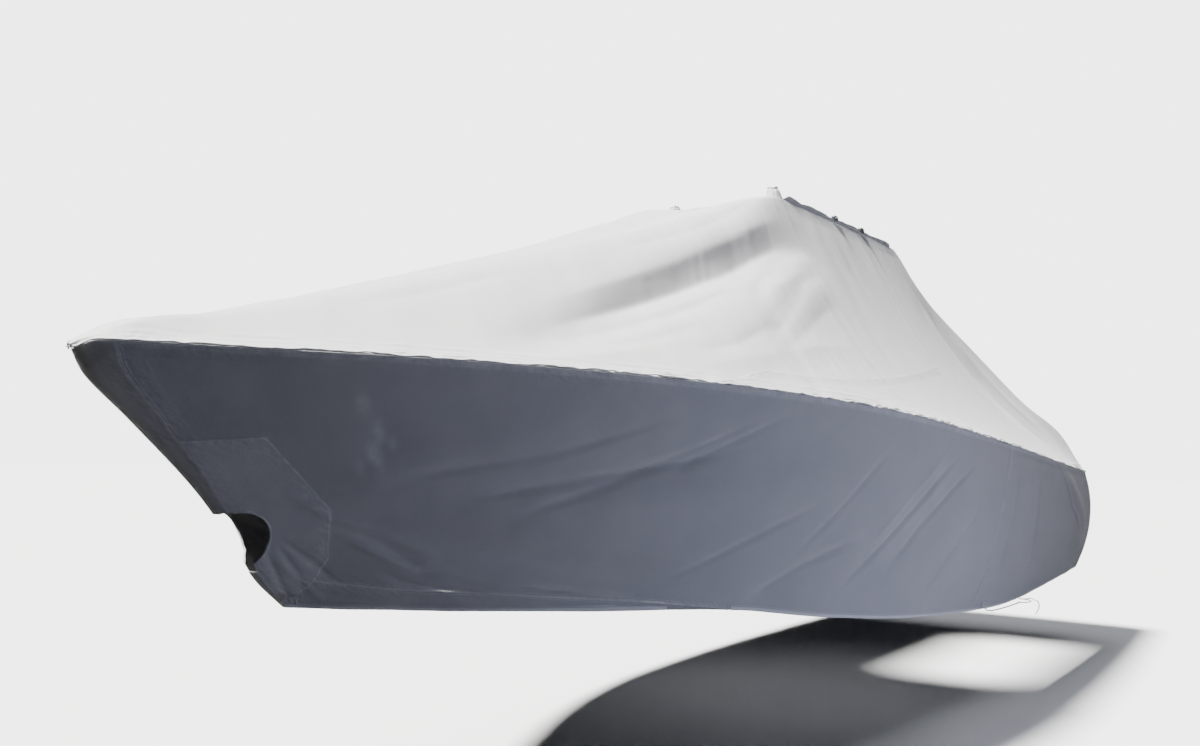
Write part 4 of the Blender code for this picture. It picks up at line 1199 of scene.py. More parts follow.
@dataclass(frozen=True)
class CordFinish:
    """Braided cord: crossing strands that follow its length."""

    name: str
    colour: Triple = (0.90, 0.90, 0.89)
    dusk: Triple = (0.66, 0.66, 0.66)
    strand: float = 0.0060
    strands_round: int = 4

    def build(self) -> Material:
        """Makes the material.

        Returns:
            The material.
        """
        board = Board(self.name)
        _, along, around = board.cloth_place()
        lengthwise = board.times(along, 2 * math.pi / self.strand)
        crosswise = board.times(around, 2 * math.pi * self.strands_round)
        left = board.math("SINE", board.add(lengthwise, crosswise))
        right = board.math("SINE", board.math("SUBTRACT", lengthwise, crosswise))
        braid = board.stretch(board.times(left, right), -1.0, 1.0, 0.0, 1.0)
        clouds = board.noise(board.object_place(), 45.0, 3.0)
        clouded = board.stretch(clouds, 0.35, 0.65, 0.0, 0.5)
        # the low places between the strands are darkened toward dusk: painted shade
        shade = board.add(clouded, board.stretch(braid, 0.0, 1.0, 0.4, 0.0))
        board.paint(shade, self.colour, self.dusk)
        board.relief(braid, 0.0006)
        board.set(roughness=0.78, sheen_weight=0.1, specular_ior_level=0.3)
        return board.material


@dataclass
class Finishes:
    """Every finish of the cover, each made once."""

    canvas: Material = field(default_factory=CanvasFinish("canvas_cloth").build)
    canvas_doubled: Material = field(
        default_factory=CanvasFinish(
            "canvas_doubled_cloth", colour=(0.615, 0.612, 0.612), dusk=(0.52, 0.52, 0.53), rows=(0.0045,)
        ).build
    )
    canvas_patch: Material = field(
        default_factory=CanvasFinish(
            "patch_cloth",
            colour=(0.74, 0.735, 0.73),
            dusk=(0.62, 0.62, 0.625),
            rubbed_and_lit=(0.86, 0.86, 0.85),
            rows=(0.0045,),
        ).build
    )
    binding: Material = field(default_factory=BindingFinish("edge_binding", colour=(0.80, 0.80, 0.80)).build)
    # the welt is paler than the canvas: partly its own tone, partly painted highlight of the lit sheer edge
    welt: Material = field(
        default_factory=BindingFinish(
            "covered_welt", colour=(0.86, 0.855, 0.85), dusk=(0.68, 0.68, 0.68), rib=0.0016, strength=0.0002
        ).build
    )
    webbing: Material = field(default_factory=WebbingFinish("flat_webbing").build)
    buckle_plastic: Material = field(default_factory=PlasticFinish("buckle_acetal").build)
    cord: Material = field(default_factory=CordFinish("braided_cord").build)


# ---------------------------------------------------------------- making pieces


def deselect() -> None:
    """Leaves nothing selected and nothing active."""
    bpy.ops.object.select_all(action="DESELECT")
    bpy.context.view_layer.objects.active = None


def only(piece: Piece) -> None:
    """Selects this piece alone and makes it active.

    Args:
        piece: the piece.
    """
    deselect()
    piece.select_set(True)
    bpy.context.view_layer.objects.active = piece


def edit_all(piece: Piece) -> None:
    """Opens the piece for editing, with all of it selected.

    Args:
        piece: the piece.
    """
    only(piece)
    bpy.ops.object.mode_set(mode="EDIT")
    bpy.ops.mesh.select_all(action="SELECT")


def close_edit() -> None:
    """Ends the editing of the open piece."""
    bpy.ops.object.mode_set(mode="OBJECT")


def placed(name: str, data: bpy.types.ID) -> Piece:
    """The mesh, camera or light as an object at the origin, in the scene.

    Args:
        name: its name.
        data: the mesh, camera or light.

    Returns:
        The object.
    """
    piece = bpy.data.objects.new(name, data)
    bpy.context.scene.collection.objects.link(piece)
    return piece


def add_wall(piece: Piece, thickness: float, offset: float) -> None:
    """Gives the sheet its thickness, to both sides at offset 0.

    Args:
        piece: the sheet.
        thickness: its thickness.
        offset: -1 for inward, 1 for outward.
    """
    wall = piece.modifiers.new("Wall", "SOLIDIFY")
    wall.thickness = thickness
    wall.offset = offset


def round_edges(piece: Piece, width: float) -> None:
    """Rounds the piece's sharp edges.

    Args:
        piece: the piece.
        width: how much of each edge is rounded.
    """
    soft = piece.modifiers.new("Soft", "BEVEL")
    soft.width = width
    soft.segments = 2
    soft.limit_method = "ANGLE"


def apply_modifiers(piece: Piece) -> None:
    """Applies every modifier of the piece, in order.

    Args:
        piece: the piece.
    """
    only(piece)
    for modifier in list(piece.modifiers):
        bpy.ops.object.modifier_apply(modifier=modifier.name)
    deselect()


def settle(piece: Piece, slot: str, material: Material, *nodes: str) -> Piece:
    """Dresses a finished piece and fixes it to the part.

    Args:
        piece: the piece, at the origin.
        slot: the slot of its finish; not used.
        material: its finish.
        nodes: the solids that it stands for.

    Returns:
        The piece.
    """
    piece.data.materials.clear()
    piece.data.materials.append(material)
    if nodes:
        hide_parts(*nodes)
    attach(piece, "root")
    LOG.info("%s: %d faces", piece.name, len(piece.data.polygons))
    return piece


def grid_normals(points: Array) -> Array:
    """The outward normals of a grid of points, port-handed."""
    return unit(np.cross(np.gradient(points, axis=1), np.gradient(points, axis=0)))


def frame_at(place: Vector, outward: Vector, run: Vector) -> Matrix:
    """A matrix at this place: X outward, Y along the run.

    Args:
        place: the middle.
        outward: the way out, at length 1.
        run: the way along.

    Returns:
        The matrix.
    """
    z = outward.cross(run).normalized()
    turn = Matrix((outward, z.cross(outward), z)).transposed().to_4x4()
    return Matrix.Translation(place) @ turn


@dataclass
class ClothSheet:
    """A grid of points made into one thin sheet of cloth.

    Its points are in the boat's measures and port-handed. `edge` is each point's distance from the
    nearest sewn edge, where the stitches run. The two wear shares, from 0 to 1, are pale rubbing with
    painted highlight, and dust with painted shade.
    """

    name: str
    points: Array
    side: Side = Side.PORT
    keep: Array | None = None
    thickness: float = 0.002
    offset: float = -1.0
    edge: Array | None = None
    hem: Array | None = None
    rubbed_and_lit: Array | None = None
    dust_and_shade: Array | None = None
    merge_within: float = 0.00015

    def build(self, lines: BoatLines) -> Piece:
        """Makes the sheet.

        Args:
            lines: the boat's lines.

        Returns:
            The sheet's object, at the origin.
        """
        rows, columns = self.points.shape[:2]
        index = np.arange(rows * columns).reshape(rows, columns)
        quads = np.stack([index[:-1, :-1], index[:-1, 1:], index[1:, 1:], index[1:, :-1]], -1)
        quads = quads.reshape(-1, 4) if self.keep is None else quads[self.keep]
        if self.side is Side.STARBOARD:
            quads = quads[:, ::-1]
        used, quads = np.unique(quads, return_inverse=True)
        quads = quads.reshape(-1, 4)
        places = self.side.turned(lines.place(self.points)).reshape(-1, 3)[used]
        mesh = bpy.data.meshes.new(self.name)
        mesh.from_pydata(places.tolist(), [], quads.tolist())
        corners = np.empty(len(mesh.loops), int)
        mesh.loops.foreach_get("vertex_index", corners)
        flat = np.stack([running_length(self.points, 0), running_length(self.points, 1)], -1)
        flat = flat.reshape(-1, 2)[used]
        mesh.uv_layers.new(name="cloth").data.foreach_set("uv", flat[corners].ravel())
        none = np.zeros((rows, columns))
        for name, values in (("edge", self.edge), ("hem", self.hem)):
            values = none + FAR if values is None else values
            mesh.attributes.new(name, "FLOAT", "POINT").data.foreach_set("value", values.reshape(-1)[used])
        rubbed_and_lit = none if self.rubbed_and_lit is None else self.rubbed_and_lit
        dust_and_shade = none if self.dust_and_shade is None else self.dust_and_shade
        # the wear colour: a paler share of rubbing and painted highlight, a darker share of dust and painted
        # shade
        wear_and_painted_light = np.stack([rubbed_and_lit, dust_and_shade, none, none + 1.0], -1).reshape(-1, 4)[used]
        mesh.attributes.new("wear_and_painted_light", "FLOAT_COLOR", "POINT").data.foreach_set("color", wear_and_painted_light.ravel())
        piece = placed(self.name, mesh)
        edit_all(piece)
        bpy.ops.mesh.remove_doubles(threshold=self.merge_within)
        close_edit()
        add_wall(piece, self.thickness, self.offset)
        apply_modifiers(piece)
        mesh.shade_smooth()
        mesh.set_sharp_from_angle(angle=math.radians(48))
        return piece


def tube(name: str, path: Array, radii: Array | float, sides: int = 10, closed: bool = False) -> Piece:
    """A round tube along a path, its flat place along and around it kept.

    Args:
        name: the piece's name.
        path: points, in the frame.
        radii: its radius, or one at each point.
        sides: how many faces go round it.
        closed: whether its ends meet; otherwise they are capped.

    Returns:
        The tube, at the origin.
    """
    path = np.asarray(path, float)
    radii = np.broadcast_to(np.asarray(radii, float), (len(path),))
    ahead = np.roll(path, -1, 0) - np.roll(path, 1, 0) if closed else np.gradient(path, axis=0)
    ahead = unit(ahead)
    across = [np.array(Vector(ahead[0]).orthogonal().normalized())]
    for direction in ahead[1:]:
        across.append(unit(across[-1] - direction * float(across[-1] @ direction)))
    if closed:
        twist = math.atan2(float(np.cross(across[-1], across[0]) @ ahead[0]), float(across[-1] @ across[0]))
    across = np.array(across)
    over = np.cross(ahead, across)
    turns = np.linspace(0.0, 2 * math.pi, sides, endpoint=False)[None, :]
    if closed:
        turns = turns + twist * np.linspace(0.0, 1.0, len(path))[:, None]
    ring = across[:, None] * np.cos(turns)[..., None] + over[:, None] * np.sin(turns)[..., None]
    points = path[:, None] + ring * radii[:, None, None]
    count = len(path)
    index = np.arange(count * sides).reshape(count, sides)
    following = np.roll(index, -1, 0) if closed else index[1:]
    base = index if closed else index[:-1]
    quads = np.stack([base, np.roll(base, -1, 1), np.roll(following, -1, 1), following], -1).reshape(-1, 4)
    faces = quads.tolist()
    if not closed:
        faces += [index[0, ::-1].tolist(), index[-1].tolist()]
    mesh = bpy.data.meshes.new(name)
    mesh.from_pydata(points.reshape(-1, 3).tolist(), [], faces)
    lengths = running_length(path, 0)
    corners = np.empty(len(mesh.loops), int)
    mesh.loops.foreach_get("vertex_index", corners)
    first_of = np.arange(len(corners)) < 4 * len(quads)
    along = lengths[corners // sides]
    around = (corners % sides) / sides
    wrapped = first_of & ((np.arange(len(corners)) % 4 == 1) | (np.arange(len(corners)) % 4 == 2))
    around = np.where(wrapped & (corners % sides == 0), 1.0, around)
    mesh.uv_layers.new(name="cloth").data.foreach_set("uv", np.stack([along, around], -1).ravel())
    mesh.shade_smooth()
    return placed(name, mesh)


def prism(name: str, outline: Places, lines: BoatLines, reach: float = 1.6) -> Piece:
    """A cutter across the boat with this outline in side view.

    Args:
        name: its name.
        outline: aft and up of each corner.
        lines: the boat's lines.
        reach: how far out it goes.

    Returns:
        The cutter.
    """
    near = [tuple(lines.place((-reach, aft, up))) for aft, up in outline]
    mesh = bpy.data.meshes.new(name)
    mesh.from_pydata(near, [], [list(range(len(near)))])
    cutter = placed(name, mesh)
    edit_all(cutter)
    bpy.ops.mesh.extrude_region_move(TRANSFORM_OT_translate={"value": (2 * reach, 0.0, 0.0)})
    bpy.ops.mesh.select_all(action="SELECT")
    bpy.ops.mesh.normals_make_consistent(inside=False)
    close_edit()
    deselect()
    return cutter


def trim(piece: Piece, cutter: Piece, operation: str) -> None:
    """Cuts the piece with the cutter, which is left for others.

    Args:
        piece: what is cut.
        cutter: the shape that cuts.
        operation: INTERSECT or DIFFERENCE.
    """
    boolean = piece.modifiers.new("Trim", "BOOLEAN")
    boolean.operation = operation
    boolean.solver = "EXACT"
    boolean.object = cutter
    apply_modifiers(piece)


def outline_distance(points: Array, outline: Places) -> Array:
    """Each point's distance from an open line in side view.

    Args:
        points: out, aft and up.
        outline: aft and up of the line's corners.

    Returns:
        The distances.
    """
    nearest = np.full(points.shape[:-1], np.inf)
    for (a, b), (c, d) in zip(outline, outline[1:]):
        length = math.dist((a, b), (c, d))
        run, rise = (c - a) / length, (d - b) / length
        first, second = points[..., 1] - a, points[..., 2] - b
        along = np.clip(first * run + second * rise, 0.0, length)
        nearest = np.minimum(nearest, np.hypot(first - along * run, second - along * rise))
    return nearest


def turned_in(points: Array, steps: Places, here: Array) -> Array:
    """The grid with its last column turned in and up as a hem.

    Args:
        points: the grid, port-handed.
        steps: how far in and how far up each added column lies.
        here: which rows have a hem; the added columns of the others lie on their last point.

    Returns:
        The longer grid.
    """
    outward = grid_normals(points)[:, -1]
    foot = points[:, -1]
    up = unit(points[:, -3] - foot)
    share = here.astype(float)[:, None]
    added = [foot + share * (up * rise - outward * inward) for inward, rise in steps]
    return np.concatenate([points, np.stack(added, 1)], 1)


HEM_TURN: Places = (
    (0.0016, -0.0016),
    (0.0042, -0.0018),
    (0.0056, 0.0010),
    (0.0056, 0.0120),
    (0.0050, 0.0240),
)


def over_hem(*fields: Array) -> list[Array]:
    """The fields of a grid, each with its last column held over the turned-in hem."""
    return [np.concatenate([field, np.repeat(field[:, -1:], len(HEM_TURN), 1)], 1) for field in fields]


# ---------------------------------------------------------------- studio


@dataclass(frozen=True)
class Sun:
    """A far light: the way its light travels, its strength, its width in degrees and its colour."""

    name: str
    way: Triple
    strength: float
    angle: float
    colour: Triple

    def build(self) -> None:
        """Hangs the light."""
        light = bpy.data.lights.new(self.name, "SUN")
        light.energy = self.strength
        light.angle = math.radians(self.angle)
        light.color = self.colour
        hung(self.name, light, self.way)


@dataclass(frozen=True)
class Panel:
    """A long light panel that the camera doesn't see: its middle, its way, its size and its power."""

    name: str
    place: Triple
    way: Triple
    size: tuple[float, float]
    power: float
    colour: Triple = (0.68, 0.73, 1.0)

    def build(self) -> None:
        """Hangs the light."""
        light = bpy.data.lights.new(self.name, "AREA")
        light.shape = "RECTANGLE"
        light.size, light.size_y = self.size
        light.energy = self.power
        light.color = self.colour
        panel = hung(self.name, light, self.way)
        panel.location = self.place
        panel.visible_camera = False


def hung(name: str, light: bpy.types.Light, way: Triple) -> Piece:
    """The light as an object in the scene, turned so that its light travels this way.

    Args:
        name: its name.
        light: the light.
        way: the way its light travels.

    Returns:
        The lamp.
    """
    lamp = placed(name, light)
    lamp.rotation_euler = Vector(way).to_track_quat("-Z", "Y").to_euler()
    return lamp


@dataclass
class Studio:
    """The pale floor, the soft light and the camera's place."""

    camera_place: Triple = (3.5447, -6.3145, -1.6123)
    heading: float = 34.643
    tilt: float = -4.068
    roll: float = 0.7797
    lens: float = 33.0
    floor_up: float = -3.32
    floor_size: float = 160.0
    floor_colour: Triple = (0.80, 0.80, 0.80)
    backdrop: Triple = (4.2, 4.2, 4.2)
    lights: tuple[Sun | Panel, ...] = (
        Sun("key", (0.22, 0.52, -0.82), 20.0, 10.0, (1.0, 0.98, 0.96)),
        Sun("sky", (0.05, -0.05, -1.0), 1.5, 50.0, (0.90, 0.93, 1.0)),
        Sun("fill", (-0.80, -0.55, -0.24), 0.03, 60.0, (0.64, 0.71, 1.0)),
        Panel("softbox", (7.6, 1.6, -2.7), (-0.96, -0.12, 0.12), (4.6, 1.1), 60.0),
        Panel("low_panel", (3.9, -0.6, -3.15), (-0.80, -0.05, 0.60), (5.0, 0.6), 54.0),
    )

    def build_camera(self) -> None:
        """Places the camera low off the port bow."""
        heading, tilt, roll = (math.radians(angle) for angle in (self.heading, self.tilt, self.roll))
        flat = math.cos(tilt)
        back = Vector((math.sin(heading) * flat, -math.cos(heading) * flat, math.sin(tilt)))
        level = Vector((math.cos(heading), math.sin(heading), 0.0))
        over = back.cross(level)
        right = math.cos(roll) * level + math.sin(roll) * over
        up = -math.sin(roll) * level + math.cos(roll) * over
        camera = placed("camera", bpy.data.cameras.new("camera"))
        camera.data.lens = self.lens
        camera.data.sensor_width = 36.0
        camera.data.clip_end = 400.0
        turn = Matrix((right, up, back)).transposed().to_4x4()
        camera.matrix_world = Matrix.Translation(Vector(self.camera_place)) @ turn
        bpy.context.scene.camera = camera

    def build_lights(self) -> None:
        """Hangs the lights, and a pale backdrop that lights nothing."""
        for light in self.lights:
            light.build()
        world = bpy.data.worlds.new("studio")
        world.use_nodes = True
        world.node_tree.nodes["Background"].inputs["Color"].default_value = (*self.backdrop, 1.0)
        world.cycles_visibility.diffuse = False
        world.cycles_visibility.glossy = False
        bpy.context.scene.world = world

    def build_floor(self) -> None:
        """Lays the plain floor, which throws no light back."""
        deselect()
        bpy.ops.mesh.primitive_plane_add(size=self.floor_size, location=(0.0, 0.0, self.floor_up))
        floor = bpy.context.active_object
        floor.name = "floor"
        floor.visible_diffuse = False
        board = Board("floor_plain")
        board.shader.inputs["Base Color"].default_value = (*self.floor_colour, 1.0)
        board.set(roughness=0.95, specular_ior_level=0.1)
        floor.data.materials.append(board.material)


# ---------------------------------------------------------------- tie


def smooth_route(points: Rows, count: int) -> Array:
    """Evenly spaced points on a smooth curve through these.

    Args:
        points: the curve's points.
        count: how many points are given back.

    Returns:
        The new points.
    """
    points = np.array(points, float)
    padded = np.concatenate([[2 * points[0] - points[1]], points, [2 * points[-1] - points[-2]]])
    t = np.linspace(0.0, 1.0, 24, endpoint=False)[:, None]
    fine = []
    for p0, p1, p2, p3 in zip(padded, padded[1:], padded[2:], padded[3:]):
        squared, cubed = (2 * p0 - 5 * p1 + 4 * p2 - p3) * t**2, (3 * p1 - p0 - 3 * p2 + p3) * t**3
        fine.append(0.5 * (2 * p1 + (p2 - p0) * t + squared + cubed))
    return evenly(np.concatenate([*fine, points[-1:]]), count)


@dataclass
class HemTie:
    """The tie at the stern end of the port hem: its cord, hitch and end knot."""

    lines: BoatLines
    finishes: Finishes
    radius: float = 0.004
    knot_radius: float = 0.0085
    knot_gap: float = 0.0004
    turn_radius: float = 0.036
    pitch: float = 0.022
    turn_degrees: tuple[int, int, int] = (200, 711, 30)
    turn_centre: Triple = (1.726, 5.500, -1.290)
    start: Rows = (
        (1.371, 5.880, -1.405),
        (1.392, 5.845, -1.409),
        (1.430, 5.790, -1.402),
        (1.500, 5.705, -1.377),
        (1.590, 5.610, -1.340),
        (1.670, 5.535, -1.303),
    )
    tail: Rows = (
        (1.790, 5.466, -1.262),
        (1.812, 5.476, -1.276),
        (1.815, 5.486, -1.310),
        (1.800, 5.490, -1.345),
    )
    points: int = 320
    length: float = 0.99

    def route(self) -> Array:
        """The cord's line: from the hem, round its anchor, to its free end.

        Returns:
            The line's points, in the frame.
        """
        x, y, z = self.turn_centre
        first, last, step = self.turn_degrees
        turns = []
        for degrees in range(first, last, step):
            angle = math.radians(degrees)
            rise = self.pitch * (degrees - first) / 360
            across, along = self.turn_radius * math.cos(angle), self.turn_radius * math.sin(angle)
            turns.append((x + across, y + along, z + rise))
        return self.lines.place(smooth_route((*self.start, *turns, *self.tail), self.points))

    def knot(self, name: str, end: Array, before: Array) -> Piece:
        """A small overhand knot: the cord's own turns drawn tight, closed at the back.

        Args:
            name: its name.
            end: the cord's end.
            before: the point before it.

        Returns:
            The knot.
        """
        outward = unit(end - before)
        across = np.array(Vector(outward).orthogonal().normalized())
        over = np.cross(outward, across)
        middle = end + outward * (self.knot_radius + self.knot_gap)
        turn = np.linspace(0.0, 2 * math.pi, 60, endpoint=False)[:, None]
        wide = self.knot_radius - 0.55 * self.radius
        loop = (
            across * (np.sin(turn) + 1.1 * np.sin(2 * turn)) * 0.30
            + over * (np.cos(turn) - 1.1 * np.cos(2 * turn)) * 0.30
            - outward * np.sin(3 * turn) * 0.42
        )
        radii = 0.62 * self.radius * (1 + 0.06 * np.sin(5 * turn[:, 0]))
        return tube(name, middle + loop * wide, radii, sides=10, closed=True)

    def build(self) -> None:
        """Makes the cord and its two knots."""
        route = self.route()
        wobble = 1 + 0.03 * np.sin(np.arange(len(route)) * 0.9)
        cord = tube("hem_tie_cord", route, self.radius * wobble, sides=12)
        material = self.finishes.cord
        settle(cord, "cord", material, "tie_cord")
        hitch = settle(self.knot("hem_tie_hitch", route[0], route[1]), "cord", material, "tie_hitch")
        knot = settle(self.knot("hem_tie_knot", route[-1], route[-2]), "cord", material, "tie_knot")


# ---------------------------------------------------------------- top


def nearest_edge(*distances: Array) -> Array:
    """The smallest of several distances."""
    return np.minimum.reduce(np.broadcast_arrays(*distances))


@dataclass
class CanvasTop:
    """The top: a panel on each side of the centreline, and one behind the joining seam."""

    lines: BoatLines
    folds: Folds
    finishes: Finishes
    cell: float = 0.0225
    aft_cell: float = 0.028
    nose_reach: float = 0.018
    nose_turn: Triple = (0.0, -0.013, -0.016)
    nose_narrow: float = 0.55
    seam_gap: float = 0.0003
    sheer_gap: float = 0.0024
    fine: tuple[float, ...] = (0.004, 0.009, 0.015)
    sheer_fine: tuple[float, ...] = (0.005, 0.010, 0.016, 0.023, 0.031, 0.042)
    welt_radius: float = 0.0048
    welt_lift: float = 0.0062
    welt_gap: float = 0.0006
    panel_cut: Triple = (2.35, 6.60, 8.60)
    aft_cut: Triple = (5.20, 4.40, 13.95)

    def stations(self, start: float, end: float, first: bool = True, last: bool = True) -> Array:
        """Even stations along the sheer, finer at the seams.

        Args:
            start: the first station.
            end: the last one.
            first: whether the start is a seam.
            last: whether the end is one.

        Returns:
            The stations.
        """
        count = round((end - start) / (self.aft_cell if start >= self.lines.joining_seam else self.cell))
        fine = self.fine
        return start + graded([end - start], count, fine if first else (), fine if last else ())[0]

    def grid(self, stations: Array, side: Side) -> tuple[Array, Array, int]:
        """One side of the top, port-handed, from the centreline to the sheer.

        Args:
            stations: the places along the sheer.
            side: whose folds it has.

        Returns:
            The points, their distance from the nearest sewn edge, and how many columns are level.
        """
        lines = self.lines
        shoulder = lines.shoulder_aft(stations)
        width = lines.shoulder_out(shoulder)
        sheer = lines.sheer_point(np.minimum(stations, lines.stern_aft))
        reach = np.linalg.norm(sheer - lines.top(stations, 0.0), axis=-1)
        cell = self.aft_cell if stations[0] >= lines.joining_seam else self.cell
        flat_count = max(8, round(float(width.max()) / cell))
        side_count = max(12, round(float(reach.max()) / cell))
        level = graded(width - self.seam_gap, flat_count, self.fine) + self.seam_gap
        fall = graded(reach - self.sheer_gap, side_count, self.fine, self.sheer_fine)
        across = np.concatenate([level[:, :-1] / width[:, None] - 1, fall / reach[:, None]], 1)
        along = np.repeat(stations[:, None], across.shape[1], 1)
        inboard = np.where(across < 0, 1.0, 0.0)
        down = reach[:, None] - np.clip(across, 0.0, 1.0) * reach[:, None]
        points = self.folds.top(along, across, side, puckered=down + inboard * FAR)
        tip = bell(along, self.nose_reach)
        points = points + tip[..., None] * np.array(self.nose_turn)
        points[..., 0] *= 1 - self.nose_narrow * tip
        centre = np.where(across < 0, (across + 1) * width[:, None], FAR)
        joint = np.abs(along - lines.joining_seam)
        in_neck = (along >= lines.neck_start - 1e-6) & (along <= lines.neck_end + 1e-6)
        rim = np.where(in_neck, np.clip(across, 0.0, 1.0) * reach[:, None], FAR)
        nearer_end = np.where(along < 6, lines.neck_start, lines.neck_end)
        before = np.where(across < 0, np.abs(nearer_end - along), FAR)
        edge = nearest_edge(down, centre, joint, rim, before)
        return points, edge, level.shape[1] - 1

    def keep(self, stations: Array, columns: int, level: int) -> Array:
        """Which faces are cloth: there are none inside the neck.

        Args:
            stations: the places along the sheer.
            columns: how many columns of points there are.
            level: how many columns of faces are level.

        Returns:
            A mask of the faces.
        """
        middle = (stations[:-1] + stations[1:]) / 2
        in_neck = (middle > self.lines.neck_start) & (middle < self.lines.neck_end)
        return ~(in_neck[:, None] & (np.arange(columns - 1) < level)[None, :])

    def build_panel(self, side: Side) -> None:
        """Makes the panel on one side, ahead of the joining seam.

        Args:
            side: the side.
        """
        lines = self.lines
        forward = self.stations(self.sheer_gap, lines.neck_start, last=False)
        beside = self.stations(lines.neck_start, lines.joining_seam - self.seam_gap, first=False)
        stations = joined(forward, beside)
        points, edge, level = self.grid(stations, side)
        keep = self.keep(stations, points.shape[1], level)
        panel = ClothSheet(f"top_cloth_{side.word}", points, side, keep, edge=edge).build(lines)
        settle(panel, "canvas", self.finishes.canvas, f"top_panel_{side.word}")

    def build_aft(self) -> None:
        """Makes the panel behind the joining seam, in one piece from side to side."""
        lines = self.lines
        neck = self.stations(lines.joining_seam + self.seam_gap, lines.neck_end, last=False)
        quarter = self.stations(lines.neck_end, lines.stern_aft - lines.corner_radius, False, False)
        corner = lines.corner_stations(17)
        corner[-1] -= self.sheer_gap
        stations = joined(neck, quarter, corner)
        port, edge, level = self.grid(stations, Side.PORT)
        other, other_edge, _ = self.grid(stations, Side.STARBOARD)
        middle = port[:, :1] * ON_CENTRELINE
        points = np.concatenate([Side.STARBOARD.turned(other)[:, :0:-1], middle, port[:, 1:]], 1)
        edge = np.concatenate([other_edge[:, :0:-1], edge], 1)
        mask = self.keep(stations, port.shape[1], level)
        keep = np.concatenate([mask[:, ::-1], mask], 1)
        stern = np.maximum(lines.stern_aft - points[..., 1], 0.0)
        edge = np.where(np.abs(points[..., 0]) < 1.15, np.minimum(edge, stern), edge)
        panel = ClothSheet("aft_cloth", points, Side.PORT, keep, edge=edge).build(lines)
        settle(panel, "canvas", self.finishes.canvas, "aft_panel")

    def build_welts(self) -> None:
        """Makes the welt over the seam between top and skirt, one on each side."""
        lines = self.lines
        stations = joined(
            np.linspace(0.0, 0.06, 16),
            np.linspace(0.06, 0.5, 44),
            np.linspace(0.5, lines.stern_aft - lines.corner_radius, 760),
            lines.corner_stations(24),
            np.linspace(lines.stern_aft, lines.loop_end - self.welt_gap, 60),
        )
        edge = lines.sheer_point(stations)
        outward = lines.normal(lines.skirt, stations, 0.02)
        outward = outward + lines.normal(lines.top, np.minimum(stations, lines.stern_aft), 0.97)
        outward[stations > lines.stern_aft] = (0.0, 1.0, 0.8)
        route = edge + unit(outward) * self.welt_lift
        route[:, 1] -= 0.004 * bell(stations, 0.02)
        route[0, 0] = self.welt_gap
        route[-1, 0] = max(route[-1, 0], self.welt_gap)
        for side in Side:
            uneven = 3 * Ripples(51 + side.value, 0.022, 1.0, 1.0).at(stations, stations * 0)
            sway = Ripples(61 + side.value, 0.11, 1.0, 0.0018).at(stations, stations * 0)
            sway = sway + Ripples(65 + side.value, 0.028, 1.0, 0.0030).at(stations, stations * 0) + 0.0012
            sway = sway * (1 + 0.8 * smooth_step(stations / 6.0))
            path = route + np.array([0.0, 0.0, 1.0]) * (sway * smooth_step(stations / 0.3))[:, None]
            radii = self.welt_radius * (1 + 0.10 * uneven) * (0.6 + 0.4 * smooth_step(stations / 0.06))
            piece = tube(f"sheer_welt_roll_{side.word}", side.turned(lines.place(path)), radii, 8)
            settle(piece, "binding", self.finishes.welt, f"sheer_welt_{side.word}")

    def build(self) -> None:
        """Makes the top's pieces."""
        for side in Side:
            self.build_panel(side)
        self.build_aft()
        self.build_welts()


# ---------------------------------------------------------------- skirt


HEM_BAND: Rows = ((0.00, 0.175), (0.35, 0.110), (1.00, 0.086), (1.90, 0.046), (2.40, 0.026), (2.90, 0.004))
STEM_STRIP: Rows = ((0.00, 0.086), (0.25, 0.060), (0.50, 0.034), (0.80, 0.018), (1.00, 0.014))


